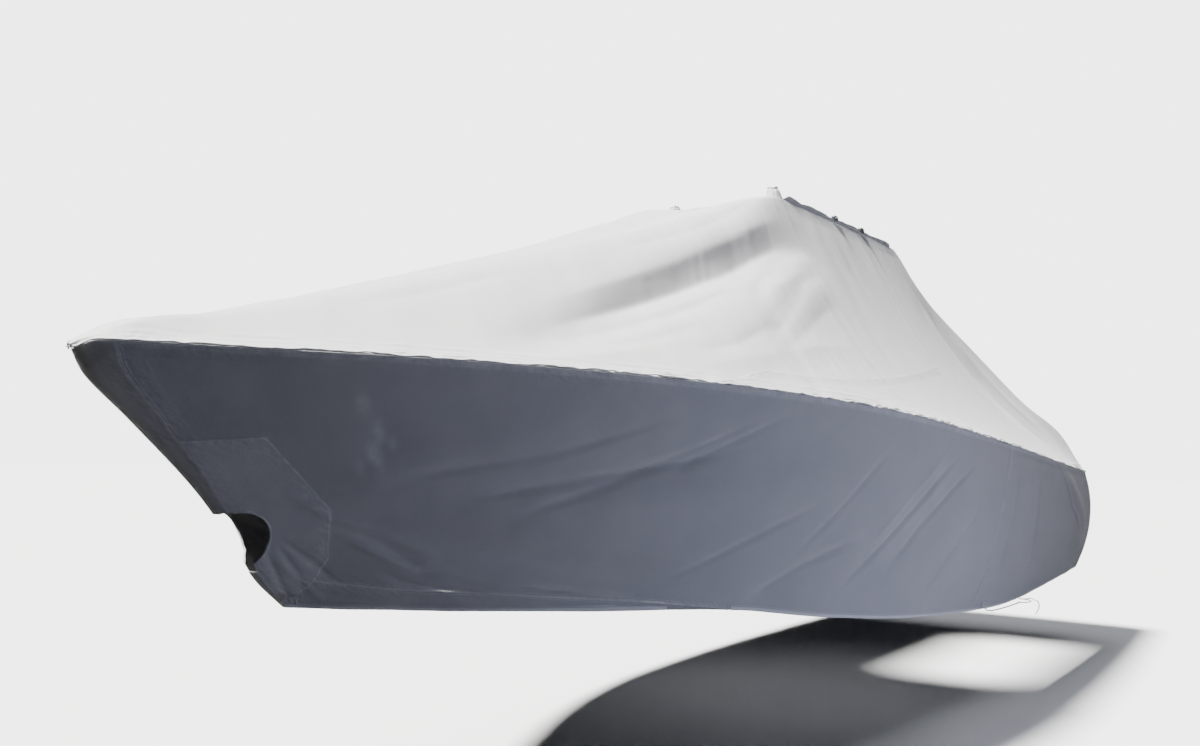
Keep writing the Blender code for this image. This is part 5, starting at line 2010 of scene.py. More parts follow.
@dataclass
class Skirt:
    """The skirt below the sheer: side panels, hem bands, quarters, transom and the strips over the stem."""

    lines: BoatLines
    folds: Folds
    finishes: Finishes
    cell: float = 0.0155
    stern_cell: float = 0.019
    seam_gap: float = 0.0003
    sheer_gap: float = 0.0024
    band_end: float = 2.90
    band_hem_from: float = 0.03
    band_cells: int = 7
    transom_cells: int = 58
    strip_thickness: float = 0.0022
    cut_aft: float = 0.652
    cut_up: float = -0.722
    cut_radius: float = 0.125
    cut_top: float = 0.605
    cut_foot: float = 0.840
    stem_bulge: float = 0.006
    fine: tuple[float, ...] = (0.004, 0.009, 0.015)
    head_fine: tuple[float, ...] = (0.005, 0.010, 0.016, 0.024, 0.034)
    foot_fine: tuple[float, ...] = (0.005, 0.010, 0.018, 0.026)
    straight_end: float = 9.18
    smudges: Rows = (
        (0.905, -0.185, 0.020, 0.042, 0.85),
        (1.000, -0.285, 0.017, 0.042, 1.20),
        (1.020, -0.375, 0.022, 0.060, 1.30),
        (1.065, -0.330, 0.014, 0.026, 0.80),
        (0.985, -0.430, 0.016, 0.036, 0.70),
    )
    side_cut: Triple = (1.25, 6.45, 6.48)
    band_cut: Triple = (0.20, 2.20, 0.225)
    quarter_cut: Triple = (1.20, 3.75, 3.88)
    transom_cut: Triple = (2.60, 1.05, 2.14)
    upper_cut: Triple = (0.20, 0.90, 0.145)
    lower_cut: Triple = (0.06, 0.30, 0.011)

    def __post_init__(self) -> None:
        """Makes the smooth lines of the band and the strip."""
        self.band_of, self.strip_of = SmoothLine(HEM_BAND, 1), SmoothLine(STEM_STRIP, 1)

    def band_share(self, station: Array) -> Array:
        """The hem band's share of the skirt's height here, 0 where there is none."""
        return np.where(station < self.band_end, self.band_of(station), 0.0)

    def length_down(self, along: Array) -> Array:
        """The skirt's length from sheer to hem here."""
        return np.linalg.norm(self.lines.hem_point(along) - self.lines.sheer_point(along), axis=-1)

    def side_along(self, share: Array, down: Array) -> Array:
        """A side panel's place along the sheer, from the stem strip's edge at 0 to the seam at 1."""
        start = self.strip_of(down) + self.seam_gap
        return start + (self.lines.joining_seam - self.seam_gap - start) * share

    def cell_of(self, side: Side) -> float:
        """How far apart the points of a side are."""
        return self.cell if side is Side.PORT else 1.4 * self.cell

    def shares(self, side: Side, end: float = 1.0) -> Array:
        """Shares of a side panel's length, finer at its seams and a little finer at the bow.

        Args:
            side: the side.
            end: the share of the length where it stops.

        Returns:
            The shares.
        """
        length, cell = self.lines.joining_seam, self.cell_of(side)
        last = self.fine if end == 1.0 else ()
        near = graded([1.6], round(1.6 / (0.8 * cell)), self.fine)[0]
        far = 1.6 + graded([length * end - 1.6], round((length * end - 1.6) / cell), (), last)[0]
        return joined(near, far) / length

    def wear_and_painted_light(self, points: Array, depth: Array, side: Side) -> tuple[Array, Array]:
        """Where the cloth is paler, from rubbing and a painted highlight below the sheer, and darker, from
        dust and painted shade under the welt.

        Args:
            points: out, aft and up.
            depth: the distance below the sheer.
            side: the side.

        Returns:
            The paler share and the darker share.
        """
        rubbed_and_lit = np.zeros_like(depth)
        if side is Side.PORT:
            for aft, up, wide, tall, amount in self.smudges:
                first, second = points[..., 1] - aft, points[..., 2] - up
                across, lengthwise = first * 0.83 + second * 0.56, second * 0.83 - first * 0.56
                rubbed_and_lit += amount * np.exp(-((across / wide) ** 2) - (lengthwise / tall) ** 2)
        # a paler band just below the sheer: painted highlight of the sheer's lit edge
        rubbed_and_lit += 0.62 * (1 - smooth_step((depth - 0.027) / 0.009))
        # darker streaks fading within centimetres below the sheer: dust streaks, and painted shade under the
        # welt
        streaks = Ripples(71 + side.value, 0.035, 9.0, 0.5).at(points[..., 1], points[..., 2]) + 0.5
        streaked_dust_and_shade = 2.4 * np.maximum(streaks - 0.72, 0.0) * np.exp(-depth / 0.060)
        return np.clip(rubbed_and_lit, 0.0, 1.0), np.clip(streaked_dust_and_shade, 0.0, 1.0)

    def build_side(self, side: Side, cutter: Piece) -> None:
        """Makes a side panel, with the bow-eye cut-out.

        Args:
            side: the side.
            cutter: the round bar that cuts the bow-eye opening.
        """
        share = self.shares(side)[:, None]
        station = share * self.lines.joining_seam
        length = self.length_down(station)
        band = self.band_share(station)
        clear = length * (1 - band - np.where(band > 0, self.seam_gap, 0.0)) - self.sheer_gap
        count = round(float(length.max()) / self.cell_of(side))
        down = (self.sheer_gap + graded(clear, count, self.head_fine, self.foot_fine)) / length
        along = self.side_along(share, down)
        points = self.folds.skirt(along, down, side)
        depth = down * length
        below = np.where(band > 0, length * (1 - band) - depth, FAR)
        hem = np.where(band > 0, FAR, length - depth)
        edge = nearest_edge(depth, below, station * 0.85, self.lines.joining_seam - station)
        rubbed_and_lit, dust_and_shade = self.wear_and_painted_light(points, depth, side)
        points = turned_in(points, HEM_TURN, (band <= 0)[:, 0])
        edge, hem, rubbed_and_lit, dust_and_shade = over_hem(edge, hem, rubbed_and_lit, dust_and_shade)
        panel = ClothSheet(
            f"side_cloth_{side.word}", points, side, edge=edge, hem=hem, rubbed_and_lit=rubbed_and_lit, dust_and_shade=dust_and_shade
        ).build(self.lines)
        trim(panel, cutter, "DIFFERENCE")
        settle(panel, "canvas", self.finishes.canvas, f"side_panel_{side.word}")

    def build_band(self, side: Side) -> None:
        """Makes the tapered band at the foot of the bow.

        Args:
            side: the side.
        """
        share = self.shares(side, self.band_end / self.lines.joining_seam)[:, None]
        station = share * self.lines.joining_seam
        length = self.length_down(station)
        height = length * self.band_share(np.minimum(station, self.band_end - 1e-6))
        down = 1 - graded(height, self.band_cells, (0.006,), (0.006,))[:, ::-1] / length
        points = self.folds.skirt(self.side_along(share, down), down, side)
        below = (1 - down) * length
        edge = nearest_edge(height - below, station * 0.85)
        points = turned_in(points, HEM_TURN, np.ones(len(points), bool))
        edge, hem = over_hem(edge, np.where(height > self.band_hem_from, below, FAR))
        band = ClothSheet(f"hem_band_cloth_{side.word}", points, side, edge=edge, hem=hem).build(self.lines)
        settle(band, "canvas", self.finishes.canvas, f"hem_band_{side.word}")

    def loop_panel(self, stations: Array, side: Side) -> tuple[Array, Array, Array, Array, Array]:
        """A panel from sheer to hem, its hem turned in.

        Args:
            stations: the places along the sheer.
            side: whose folds it has.

        Returns:
            Its points, their distance from the sheer and from the hem, their dust and painted shade, and
            their rubbing and painted highlight.
        """
        along = stations[:, None]
        length = self.length_down(along)
        count = round(float(length.max()) / self.stern_cell)
        depths = graded(length - self.sheer_gap, count, self.head_fine, self.foot_fine)
        down = (self.sheer_gap + depths) / length
        points = self.folds.skirt(along, down, side)
        depth = down * length
        rubbed_and_lit, dust_and_shade = self.wear_and_painted_light(points, depth, side)
        points = turned_in(points, HEM_TURN, np.ones(len(points), bool))
        return points, *over_hem(depth, length - depth, dust_and_shade, rubbed_and_lit)

    def build_quarter(self, side: Side) -> None:
        """Makes the panel behind the joining seam, round to the transom.

        Args:
            side: the side.
        """
        lines = self.lines
        count = round((self.straight_end - lines.joining_seam) / self.stern_cell)
        start = lines.joining_seam + self.seam_gap
        straight = start + graded([self.straight_end - start], count, self.fine)[0]
        corner = lines.corner_stations(17)
        corner[-1] -= self.seam_gap**2 / (2 * lines.corner_radius)
        stations = joined(straight, corner)
        points, depth, below, dust_and_shade, rubbed_and_lit = self.loop_panel(stations, side)
        seam = (stations - lines.joining_seam)[:, None]
        back = running_length(points, 0)
        edge = nearest_edge(depth, seam, back[-1:] - back)
        panel = ClothSheet(
            f"quarter_cloth_{side.word}", points, side, edge=edge, hem=below, rubbed_and_lit=rubbed_and_lit, dust_and_shade=dust_and_shade
        ).build(lines)
        settle(panel, "canvas", self.finishes.canvas, f"quarter_panel_{side.word}")

    def build_transom(self) -> None:
        """Makes the panel across the stern."""
        lines = self.lines
        start = lines.stern_aft + self.seam_gap
        stations = start + graded([lines.loop_end - start], self.transom_cells, self.fine)[0]
        port, depth, below, dust_and_shade, rubbed_and_lit = self.loop_panel(stations, Side.PORT)
        other = Side.STARBOARD.turned(self.loop_panel(stations, Side.STARBOARD)[0])
        port[-1] *= ON_CENTRELINE
        points = np.concatenate([port, other[-2::-1]])
        depth, below, dust_and_shade, rubbed_and_lit = (
            np.concatenate([field, field[-2::-1]]) for field in (depth, below, dust_and_shade, rubbed_and_lit)
        )
        side = running_length(points, 0)
        edge = nearest_edge(depth, side, side[-1:] - side)
        panel = ClothSheet(
            "transom_cloth", points, edge=edge, hem=below, rubbed_and_lit=rubbed_and_lit, dust_and_shade=dust_and_shade
        ).build(lines)
        settle(panel, "canvas", self.finishes.canvas, "transom_panel")

    def build_strip(self, word: str, start: float, end: float) -> None:
        """Makes one of the strips over the stem.

        Args:
            word: which one.
            start: the share down where it starts.
            end: where it ends.
        """
        down = np.linspace(start, end, max(10, round((end - start) * 1.4 / 0.012)))[None, :]
        share = np.array([0.0, 0.08, 0.2, 0.35, 0.5, 0.65, 0.8, 0.9, 0.96, 1.0])[:, None]
        along = self.strip_of(down) * share
        port = self.folds.skirt(along, down, Side.PORT)
        starboard = Side.STARBOARD.turned(self.folds.skirt(along, down, Side.STARBOARD))
        nose = port[:1] * ON_CENTRELINE
        nose[..., 1] -= self.stem_bulge * (1 - smooth_step(down / 0.07))
        points = np.concatenate([starboard[::-1], nose, port])
        across = running_length(points, 0)
        edge = nearest_edge(across, across[-1:] - across)
        sheet = ClothSheet(f"stem_cloth_{word}", points, edge=edge, thickness=self.strip_thickness)
        strip = sheet.build(self.lines)
        settle(strip, "canvas_doubled", self.finishes.canvas_doubled, f"stem_strip_{word}")

    def build(self, cutter: Piece) -> None:
        """Makes the skirt's pieces.

        Args:
            cutter: the round bar that cuts the bow-eye opening.
        """
        for side in Side:
            self.build_side(side, cutter)
            self.build_band(side)
            self.build_quarter(side)
        self.build_transom()
        self.build_strip("upper", self.sheer_gap, self.cut_top)
        self.build_strip("lower", self.cut_foot, 1.0)


# ---------------------------------------------------------------- what is sewn on the bow


BOW_PATCH: Places = (
    (0.300, -0.342),
    (0.632, -0.315),
    (0.941, -0.592),
    (0.999, -0.788),
    (0.978, -0.880),
    (0.925, -0.955),
    (0.700, -0.990),
)


@dataclass
class BowReinforcement:
    """The patches round the bow-eye cut-out, its bindings, and the gathered tab at the stem's foot."""

    lines: BoatLines
    folds: Folds
    skirt: Skirt
    finishes: Finishes
    lift: float = 0.0004
    thickness: float = 0.0014
    reach: float = 0.70
    head: float = 0.26
    foot: float = 0.975
    inset: float = 0.0006
    cells: tuple[int, int] = (46, 62)
    fine: tuple[float, ...] = (0.004, 0.009)
    binding_radius: float = 0.0046
    binding_gap: float = 0.0012
    binding_angles: tuple[float, float, int] = (101.0, -37.0, 90)
    cut_sides: int = 96
    cut_length: float = 1.2
    patch_cut: Triple = (0.60, 0.75, 0.195)
    tab_size: Triple = (0.008, 0.075, 0.050)
    tab_place: tuple[float, float] = (0.075, 0.955)
    tab_lift: float = 0.007
    tab_thickness: float = 0.0012
    tab_cut: Triple = (0.055, 0.085, 0.0036)

    def build_cutter(self) -> Piece:
        """Makes the round bar across the bow that cuts the opening.

        Returns:
            The bar.
        """
        deselect()
        place = self.lines.place((0.0, self.skirt.cut_aft, self.skirt.cut_up))
        bpy.ops.mesh.primitive_cylinder_add(
            vertices=self.cut_sides,
            radius=self.skirt.cut_radius,
            depth=self.cut_length,
            location=tuple(place),
            rotation=(0.0, math.radians(90), 0.0),
        )
        cutter = bpy.context.active_object
        cutter.name = "cutout_cutter"
        bpy.ops.object.transform_apply(location=True, rotation=True, scale=True)
        return cutter

    def build_patch(self, side: Side, outline: Piece, cutter: Piece) -> None:
        """Makes the patch on one side of the stem.

        Args:
            side: the side.
            outline: the patch's outline, as a prism.
            cutter: the round bar that cuts the bow-eye opening.
        """
        rows, columns = self.cells
        share = (self.inset + graded([self.reach], rows, self.fine)[0])[:, None] / self.lines.joining_seam
        down = np.linspace(self.head, self.foot, columns)[None, :]
        along = self.skirt.side_along(share, down)
        surface = self.lines.skirt
        points = self.folds.skirt(along, down, side) + self.lines.normal(surface, along, down) * self.lift
        edge = np.minimum(outline_distance(points, BOW_PATCH), share * self.lines.joining_seam * 0.6)
        rubbed_and_lit, _ = self.skirt.wear_and_painted_light(points, np.full(points.shape[:-1], FAR), side)
        scuffs = Ripples(81 + side.value, 0.05, 0.02, 0.5, 40.0).at(points[..., 1], points[..., 2])
        rubbed_and_lit = np.clip(rubbed_and_lit + np.maximum(scuffs - 0.18, 0.0) * 0.9, 0.0, 1.0)
        patch = ClothSheet(
            f"bow_patch_cloth_{side.word}",
            points,
            side,
            edge=edge,
            rubbed_and_lit=rubbed_and_lit,
            thickness=self.thickness,
            offset=1.0,
        ).build(self.lines)
        trim(patch, outline, "INTERSECT")
        trim(patch, cutter, "DIFFERENCE")
        settle(patch, "canvas_doubled", self.finishes.canvas_patch, f"bow_patch_{side.word}")

    def build_binding(self, side: Side) -> None:
        """Makes the binding round the cut-out, from the stem and back to it.

        Args:
            side: the side.
        """
        radius = self.skirt.cut_radius + self.binding_gap
        lift = self.lift + self.thickness * 0.6
        first, last, count = self.binding_angles
        route = []
        for angle in np.radians(np.linspace(first, last, count)):
            aft = self.skirt.cut_aft + radius * math.cos(angle)
            up = self.skirt.cut_up + radius * math.sin(angle)
            along, down = self.lines.find_on_skirt(aft, up)
            along, down = np.array(along), np.array(down)
            normal = self.lines.normal(self.lines.skirt, along, down)
            route.append(self.folds.skirt(along, down, side) + normal * lift)
        uneven = Ripples(91 + side.value, 6.0, 1.0, 0.08).at(np.arange(count), np.zeros(count))
        path = side.turned(self.lines.place(np.array(route)))
        binding = tube(f"cutout_binding_roll_{side.word}", path, self.binding_radius * (1 + uneven), 10)
        settle(binding, "binding", self.finishes.binding, f"cutout_binding_{side.word}")

    def skirt_frame(self, along: float, down: float, lift: float) -> Matrix:
        """A matrix on the port skirt: X outward, Y aft along the cloth.

        Args:
            along: the place along the sheer.
            down: the share down.
            lift: how far out of the cloth it is.

        Returns:
            The matrix.
        """
        places = []
        for step_along, step_down in ((0.0, 0.0), (0.03, 0.0), (0.0, 0.02)):
            here = np.array(along + step_along), np.array(down + step_down)
            normal = self.lines.normal(self.lines.skirt, *here)
            point = self.folds.skirt(*here, Side.PORT) + normal * lift
            places.append(Vector(self.lines.place(point)))
        run, fall = places[1] - places[0], places[2] - places[0]
        return frame_at(places[0], fall.cross(run).normalized(), run)

    def build_tab(self) -> None:
        """Makes the gathered tab at the foot of the stem, as crumpled cloth."""
        depth, length, height = self.tab_size
        matrix = self.skirt_frame(*self.tab_place, self.tab_lift + depth / 2)
        u, v = np.meshgrid(np.linspace(-1, 1, 44), np.linspace(-1, 1, 32), indexing="ij")
        crumple = Ripples(102, 0.10, 0.3, 1.0).at(u + 9, v + 9)
        ruffle = Ripples(101, 0.16, 1.4, 1.0, 18.0).at(u + 9, v + 9) + 0.45 * crumple
        pinch = 1 - 0.42 * bell(u + 0.2, 0.42)
        outline = 1 + 0.14 * Ripples(103, 0.35, 0.35, 1.0).at(u + 5, v + 5)
        y = u * length / 2 * (0.90 + 0.06 * np.sin(3 * v))
        z = v * height / 2 * pinch * outline
        x = ruffle * depth * 0.36 * (1 - 0.35 * np.abs(v))
        local = np.stack([x, y, z, np.ones_like(x)], -1)
        points = (local @ np.array(matrix).T)[..., :3] - self.lines.place((0.0, 0.0, 0.0))
        sheet = ClothSheet("stem_draw_tab_cloth", points[:, ::-1], thickness=self.tab_thickness, offset=0.0)
        tab = sheet.build(self.lines)
        settle(tab, "canvas_doubled", self.finishes.canvas_doubled, "stem_draw_tab")

    def build(self, cutter: Piece) -> None:
        """Makes the patches, the bindings and the tab.

        Args:
            cutter: the round bar that cuts the opening.
        """
        outline = prism("bow_patch_outline", BOW_PATCH, self.lines)
        for side in Side:
            self.build_patch(side, outline, cutter)
            self.build_binding(side)
        bpy.data.objects.remove(outline)
        self.build_tab()


# ---------------------------------------------------------------- what is sewn above the sheer


@dataclass
class GunwaleTrim:
    """The doubler above the sheer and the chafe strip on it, on each side."""

    lines: BoatLines
    folds: Folds
    finishes: Finishes
    cell: float = 0.020
    sheer_gap: float = 0.0030
    seam_gap: float = 0.0006
    patch_edge: Rows = (
        (2.30, -0.060),
        (2.54, -0.020),
        (3.00, 0.060),
        (3.51, 0.060),
        (4.08, 0.090),
        (5.20, 0.190),
        (6.10, 0.290),
        (6.60, 0.345),
    )
    patch_start: float = 2.50
    patch_lift: float = 0.0004
    patch_thickness: float = 0.0012
    patch_cells: int = 22
    patch_fine: tuple[float, ...] = (0.004, 0.009)
    sheer_fine: tuple[float, ...] = (0.005, 0.010, 0.016, 0.023)
    chafe_ends: tuple[float, float] = (3.85, 6.02)
    chafe_edges: tuple[float, float] = (0.016, 0.088)
    chafe_lift: float = 0.0020
    chafe_thickness: float = 0.0018
    patch_cut: Triple = (0.60, 4.00, 1.35)
    chafe_cut: Triple = (0.12, 2.25, 0.232)

    def across_at(self, along: Array, up: Array) -> Array:
        """The share across where the top's side is this high.

        Args:
            along: the places along the sheer.
            up: the height at each.

        Returns:
            The shares.
        """
        low, high = np.zeros_like(along), np.ones_like(along)
        for _ in range(26):
            middle = (low + high) / 2
            above = self.lines.top(along, middle)[..., 2] > up
            low, high = np.where(above, middle, low), np.where(above, high, middle)
        return (low + high) / 2

    def lifted(self, along: Array, across: Array, side: Side, lift: float) -> Array:
        """The dressed top at these places, lifted along its normal.

        Args:
            along: the places along the sheer.
            across: the shares across.
            side: whose folds it has.
            lift: how far it is lifted.

        Returns:
            Out, aft and up.
        """
        sheer = self.lines.sheer_point(along)
        reach = np.linalg.norm(sheer - self.lines.top(along, 0.0), axis=-1)
        points = self.folds.top(along, across, side, puckered=(1 - across) * reach)
        return points + self.lines.normal(self.lines.top, along, across) * lift

    def build_patch(self, side: Side) -> None:
        """Makes the doubler.

        Args:
            side: the side.
        """
        lines = self.lines
        end = lines.joining_seam - self.seam_gap
        count = round((lines.joining_seam - self.patch_start) / self.cell)
        stations = self.patch_start + graded([end - self.patch_start], count, (), (0.006,))[0]
        aft = lines.top(stations, 0.9)[..., 1]
        upper = np.maximum(SmoothLine(self.patch_edge, 1)(aft), lines.sheer_up(aft) + 0.012)
        start = self.across_at(stations, upper)[:, None]
        reach = np.linalg.norm(lines.sheer_point(stations) - lines.top(stations, 0.0), axis=-1)[:, None]
        width = (1 - start) * reach - self.sheer_gap
        distance = graded(width, self.patch_cells, self.patch_fine, self.sheer_fine)
        across = start + distance / reach
        along = np.repeat(stations[:, None], across.shape[1], 1)
        points = self.lifted(along, across, side, self.patch_lift)
        ahead, behind = (stations - self.patch_start)[:, None] + 0.004, (end - stations)[:, None]
        patch = ClothSheet(
            f"gunwale_patch_cloth_{side.word}",
            points,
            side,
            edge=nearest_edge(distance, ahead, behind),
            thickness=self.patch_thickness,
            offset=1.0,
        ).build(lines)
        settle(patch, "canvas", self.finishes.canvas, f"gunwale_patch_{side.word}")

    def build_chafe(self, side: Side) -> None:
        """Makes the chafe strip, its aft end round.

        Args:
            side: the side.
        """
        lines = self.lines
        first, last = self.chafe_ends
        low, high = self.chafe_edges
        radius = (high - low) / 2
        turn = np.sin(np.linspace(0.0, math.pi / 2, 12))
        straight = np.linspace(first, last - radius, round((last - first) / self.cell))
        stations = joined(straight, last - radius + radius * turn)
        past = np.clip(stations - (last - radius), 0.0, radius)
        half = np.maximum(np.sqrt(radius**2 - past**2), 0.002)[:, None]
        share = np.linspace(-1, 1, 9)[None, :]
        middle = (lines.sheer_up(stations) + (low + high) / 2)[:, None]
        slant = 0.02 * bell(stations - first, 0.03)[:, None] * share
        along = stations[:, None] + slant
        across = self.across_at(along, middle - half * share)
        points = self.lifted(along, across, side, self.chafe_lift)
        ends = np.minimum(stations - first, last - stations)[:, None]
        strip = ClothSheet(
            f"chafe_strip_cloth_{side.word}",
            points,
            side,
            edge=nearest_edge(half * (1 - np.abs(share)), ends),
            thickness=self.chafe_thickness,
            offset=1.0,
        ).build(lines)
        settle(strip, "canvas_doubled", self.finishes.canvas_doubled, f"chafe_strip_{side.word}")

    def build(self) -> None:
        """Makes the doublers and the chafe strips."""
        for side in Side:
            self.build_patch(side)
            self.build_chafe(side)


# ---------------------------------------------------------------- neck


@dataclass
class Neck:
    """The neck: its cuff, the boots of the front legs, and the straps with their buckles."""

    lines: BoatLines
    finishes: Finishes
    inset: float = 0.0034
    band_steps: int = 520
    band_thickness: float = 0.0022
    band_shares: tuple[float, ...] = (0.0, 0.06, 0.14, 0.25, 0.36, 0.48, 0.6, 0.72, 0.84, 0.94, 1.0)
    band_foot: float = -0.030
    band_corner: float = 0.045
    band_top: Rows = (
        (4.50, 0.010),
        (4.56, 0.014),
        (4.66, 0.046),
        (4.85, 0.032),
        (5.05, 0.042),
        (5.40, 0.028),
        (5.75, 0.040),
        (6.10, 0.030),
        (6.45, 0.038),
        (6.60, 0.026),
    )
    boot_rows: Rows = ((0.0, 0.058), (0.5, 0.048), (1.0, 0.034))
    boot_heights: tuple[float, float] = (0.100, 0.055)
    boot_lean: tuple[float, float] = (-0.10, -0.16)
    boot_inset: float = 0.072
    boot_sink: float = 0.005
    boot_thickness: float = 0.0018
    strap_size: Triple = (0.0016, 0.130, 0.025)
    strap_rise: float = 0.029
    strap_lift: float = 0.0012
    buckle_lift: float = 0.0042
    buckle_size: Triple = (0.010, 0.054, 0.040)
    buckle_edge: float = 0.0011
    buckle_aft: tuple[float, float] = (5.42, 5.93)
    band_cut: Triple = (0.09, 6.20, 0.36)
    boot_cuts: Rows = ((0.36, 0.110, 0.031), (0.36, 0.065, 0.0185))

    def half_width(self) -> float:
        """How far out from the centreline the cuff stands."""
        return float(self.lines.shoulder_out(self.lines.neck_start + 0.01)) - self.inset

    def loop(self) -> Array:
        """The neck's outline from above, anticlockwise, in even steps.

        Returns:
            Out and aft of each point, the last on the first.
        """
        lines, corner = self.lines, self.band_corner
        half = self.half_width()
        front = lines.neck_start + self.inset
        back = float(lines.shoulder_aft(lines.neck_end)) - self.inset
        corners = (
            (half - corner, back - corner, 0.0),
            (-half + corner, back - corner, 90.0),
            (-half + corner, front + corner, 180.0),
            (half - corner, front + corner, 270.0),
        )
        points = []
        for out, aft, start in corners:
            for turn in np.radians(np.linspace(start, start + 90.0, 9)):
                points.append((out + corner * math.cos(turn), aft + corner * math.sin(turn)))
        return evenly(np.array(points + points[:1]), self.band_steps + 1)

    def build_band(self) -> Piece:
        """Makes the cuff, gathered and uneven along its top edge.

        Returns:
            The cuff.
        """
        loop = self.loop()
        out, aft = loop[:, 0], loop[:, 1]
        base = self.lines.shoulder_up(aft)
        foot, head = base + self.band_foot, base + SmoothLine(self.band_top, 1)(aft)
        turns = np.arange(len(loop)) % self.band_steps
        head = head + Ripples(111, 7.0, 1.0, 0.0035).at(turns, out * 0)
        share = np.array(self.band_shares)[None, :]
        height = head[:, None] + (foot - head)[:, None] * share
        run = np.gradient(loop, axis=0)
        outward = np.stack([run[:, 1], -run[:, 0]], 1)
        outward /= np.linalg.norm(outward, axis=1, keepdims=True)
        around, fall = np.broadcast_arrays(turns[:, None], share * 8)
        gathers = Ripples(112, 2.6, 4.0, 0.0022).at(around, fall)
        inward = -np.abs(gathers) * smooth_step((1 - share) * 1.6) - 0.0015 * smooth_step(1 - share)
        place = loop[:, None, :] + outward[:, None, :] * inward[..., None]
        points = np.concatenate([place, height[..., None]], -1)
        points[-1] = points[0]
        edge = share * (head - foot)[:, None]
        band = ClothSheet("collar_cloth", points, edge=edge, thickness=self.band_thickness).build(self.lines)
        settle(band, "canvas_doubled", self.finishes.canvas_doubled, "collar_band")
        return band

    def build_boot(self, side: Side) -> None:
        """Makes the tapered sleeve round one front leg, drawn in at its top.

        Args:
            side: the side.
        """
        lines = self.lines
        height = self.boot_heights[0 if side is Side.PORT else 1]
        radius_of = SmoothLine(self.boot_rows, 1)
        turn = np.linspace(0.0, 2 * math.pi, 97)[:, None]
        share = np.linspace(1.0, 0.0, 26)[None, :]
        gathers = np.sin(9 * turn + 2.0 * share) + 0.6 * np.sin(14 * turn - 3.0 * share + 1.0)
        radius = radius_of(share) + 0.0016 * gathers * smooth_step(share * 1.5 - 0.1)
        radius = radius - 0.006 * bell(share - 0.86, 0.06) + 0.002 * np.sin(3 * turn) * (1 - share)
        foot = np.array(
            [
                float(lines.shoulder_out(lines.neck_start)) - self.boot_inset,
                lines.neck_start + self.boot_inset,
                float(lines.shoulder_up(lines.neck_start)) - self.boot_sink,
            ]
        )
        rise = share * height * (1 + 0.05 * np.sin(2 * turn + 0.6) * share)
        points = np.stack(
            [
                foot[0] + np.cos(turn) * radius + self.boot_lean[0] * rise,
                foot[1] + np.sin(turn) * radius + self.boot_lean[1] * rise,
                foot[2] + rise,
            ],
            -1,
        )
        points[-1] = points[0]
        edge = (1 - share) * height + turn * 0
        boot = ClothSheet(
            f"leg_boot_cloth_{side.word}", points, side, edge=edge, thickness=self.boot_thickness
        ).build(lines)
        settle(boot, "canvas", self.finishes.canvas, f"leg_boot_{side.word}")

    def fitting_frame(self, aft: float, out: float, side: Side) -> Matrix:
        """A matrix on the cuff: X outward, Y aft.

        Args:
            aft: how far aft.
            out: how far out.
            side: the side.

        Returns:
            The matrix.
        """
        up = float(self.lines.shoulder_up(aft)) + self.strap_rise
        place = side.turned(self.lines.place((out, aft, up)))
        return frame_at(Vector(place), Vector((side.value, 0.0, 0.0)), Vector((0.0, 1.0, 0.0)))

    def build_strap(self, side: Side, number: int, aft: float, out: float) -> Piece:
        """Makes one strap, its edges rounded and its ends pressed to the cuff.

        Args:
            side: the side.
            number: its number from the front.
            aft: how far aft.
            out: how far out.

        Returns:
            The strap.
        """
        thick, length, width = self.strap_size
        deselect()
        bpy.ops.mesh.primitive_grid_add(x_subdivisions=26, y_subdivisions=6, size=1.0)
        strap = bpy.context.active_object
        strap.name = f"strap_web_{side.word}_{number}"
        edit_all(strap)
        bpy.ops.transform.resize(value=(length, width, 1.0))
        self.stand_up()
        close_edit()
        for vertex in strap.data.vertices:
            end = abs(vertex.co.y) / (length / 2)
            vertex.co.x += 0.0010 * (1 - end) ** 0.5 + 0.0002 * math.sin(vertex.co.y * 160)
        add_wall(strap, thick, 0.0)
        round_edges(strap, thick * 0.3)
        apply_modifiers(strap)
        strap.data.transform(self.fitting_frame(aft, out + thick / 2, side))
        self.face_out(strap)
        settle(strap, "webbing", self.finishes.webbing, f"collar_strap_{side.word}_{number}")
        return strap

    @staticmethod
    def stand_up() -> None:
        """Turns what is being edited from lying flat to standing, its front outward and its length aft."""
        centre = (0.0, 0.0, 0.0)
        for axis in "ZY":
            bpy.ops.transform.rotate(value=math.radians(90), orient_axis=axis, center_override=centre)

    @staticmethod
    def face_out(piece: Piece) -> None:
        """Turns the piece's faces outward and smooths its rounded edges.

        Args:
            piece: the piece.
        """
        edit_all(piece)
        bpy.ops.mesh.normals_make_consistent(inside=False)
        close_edit()
        bpy.ops.object.shade_smooth_by_angle(angle=math.radians(35))
        deselect()

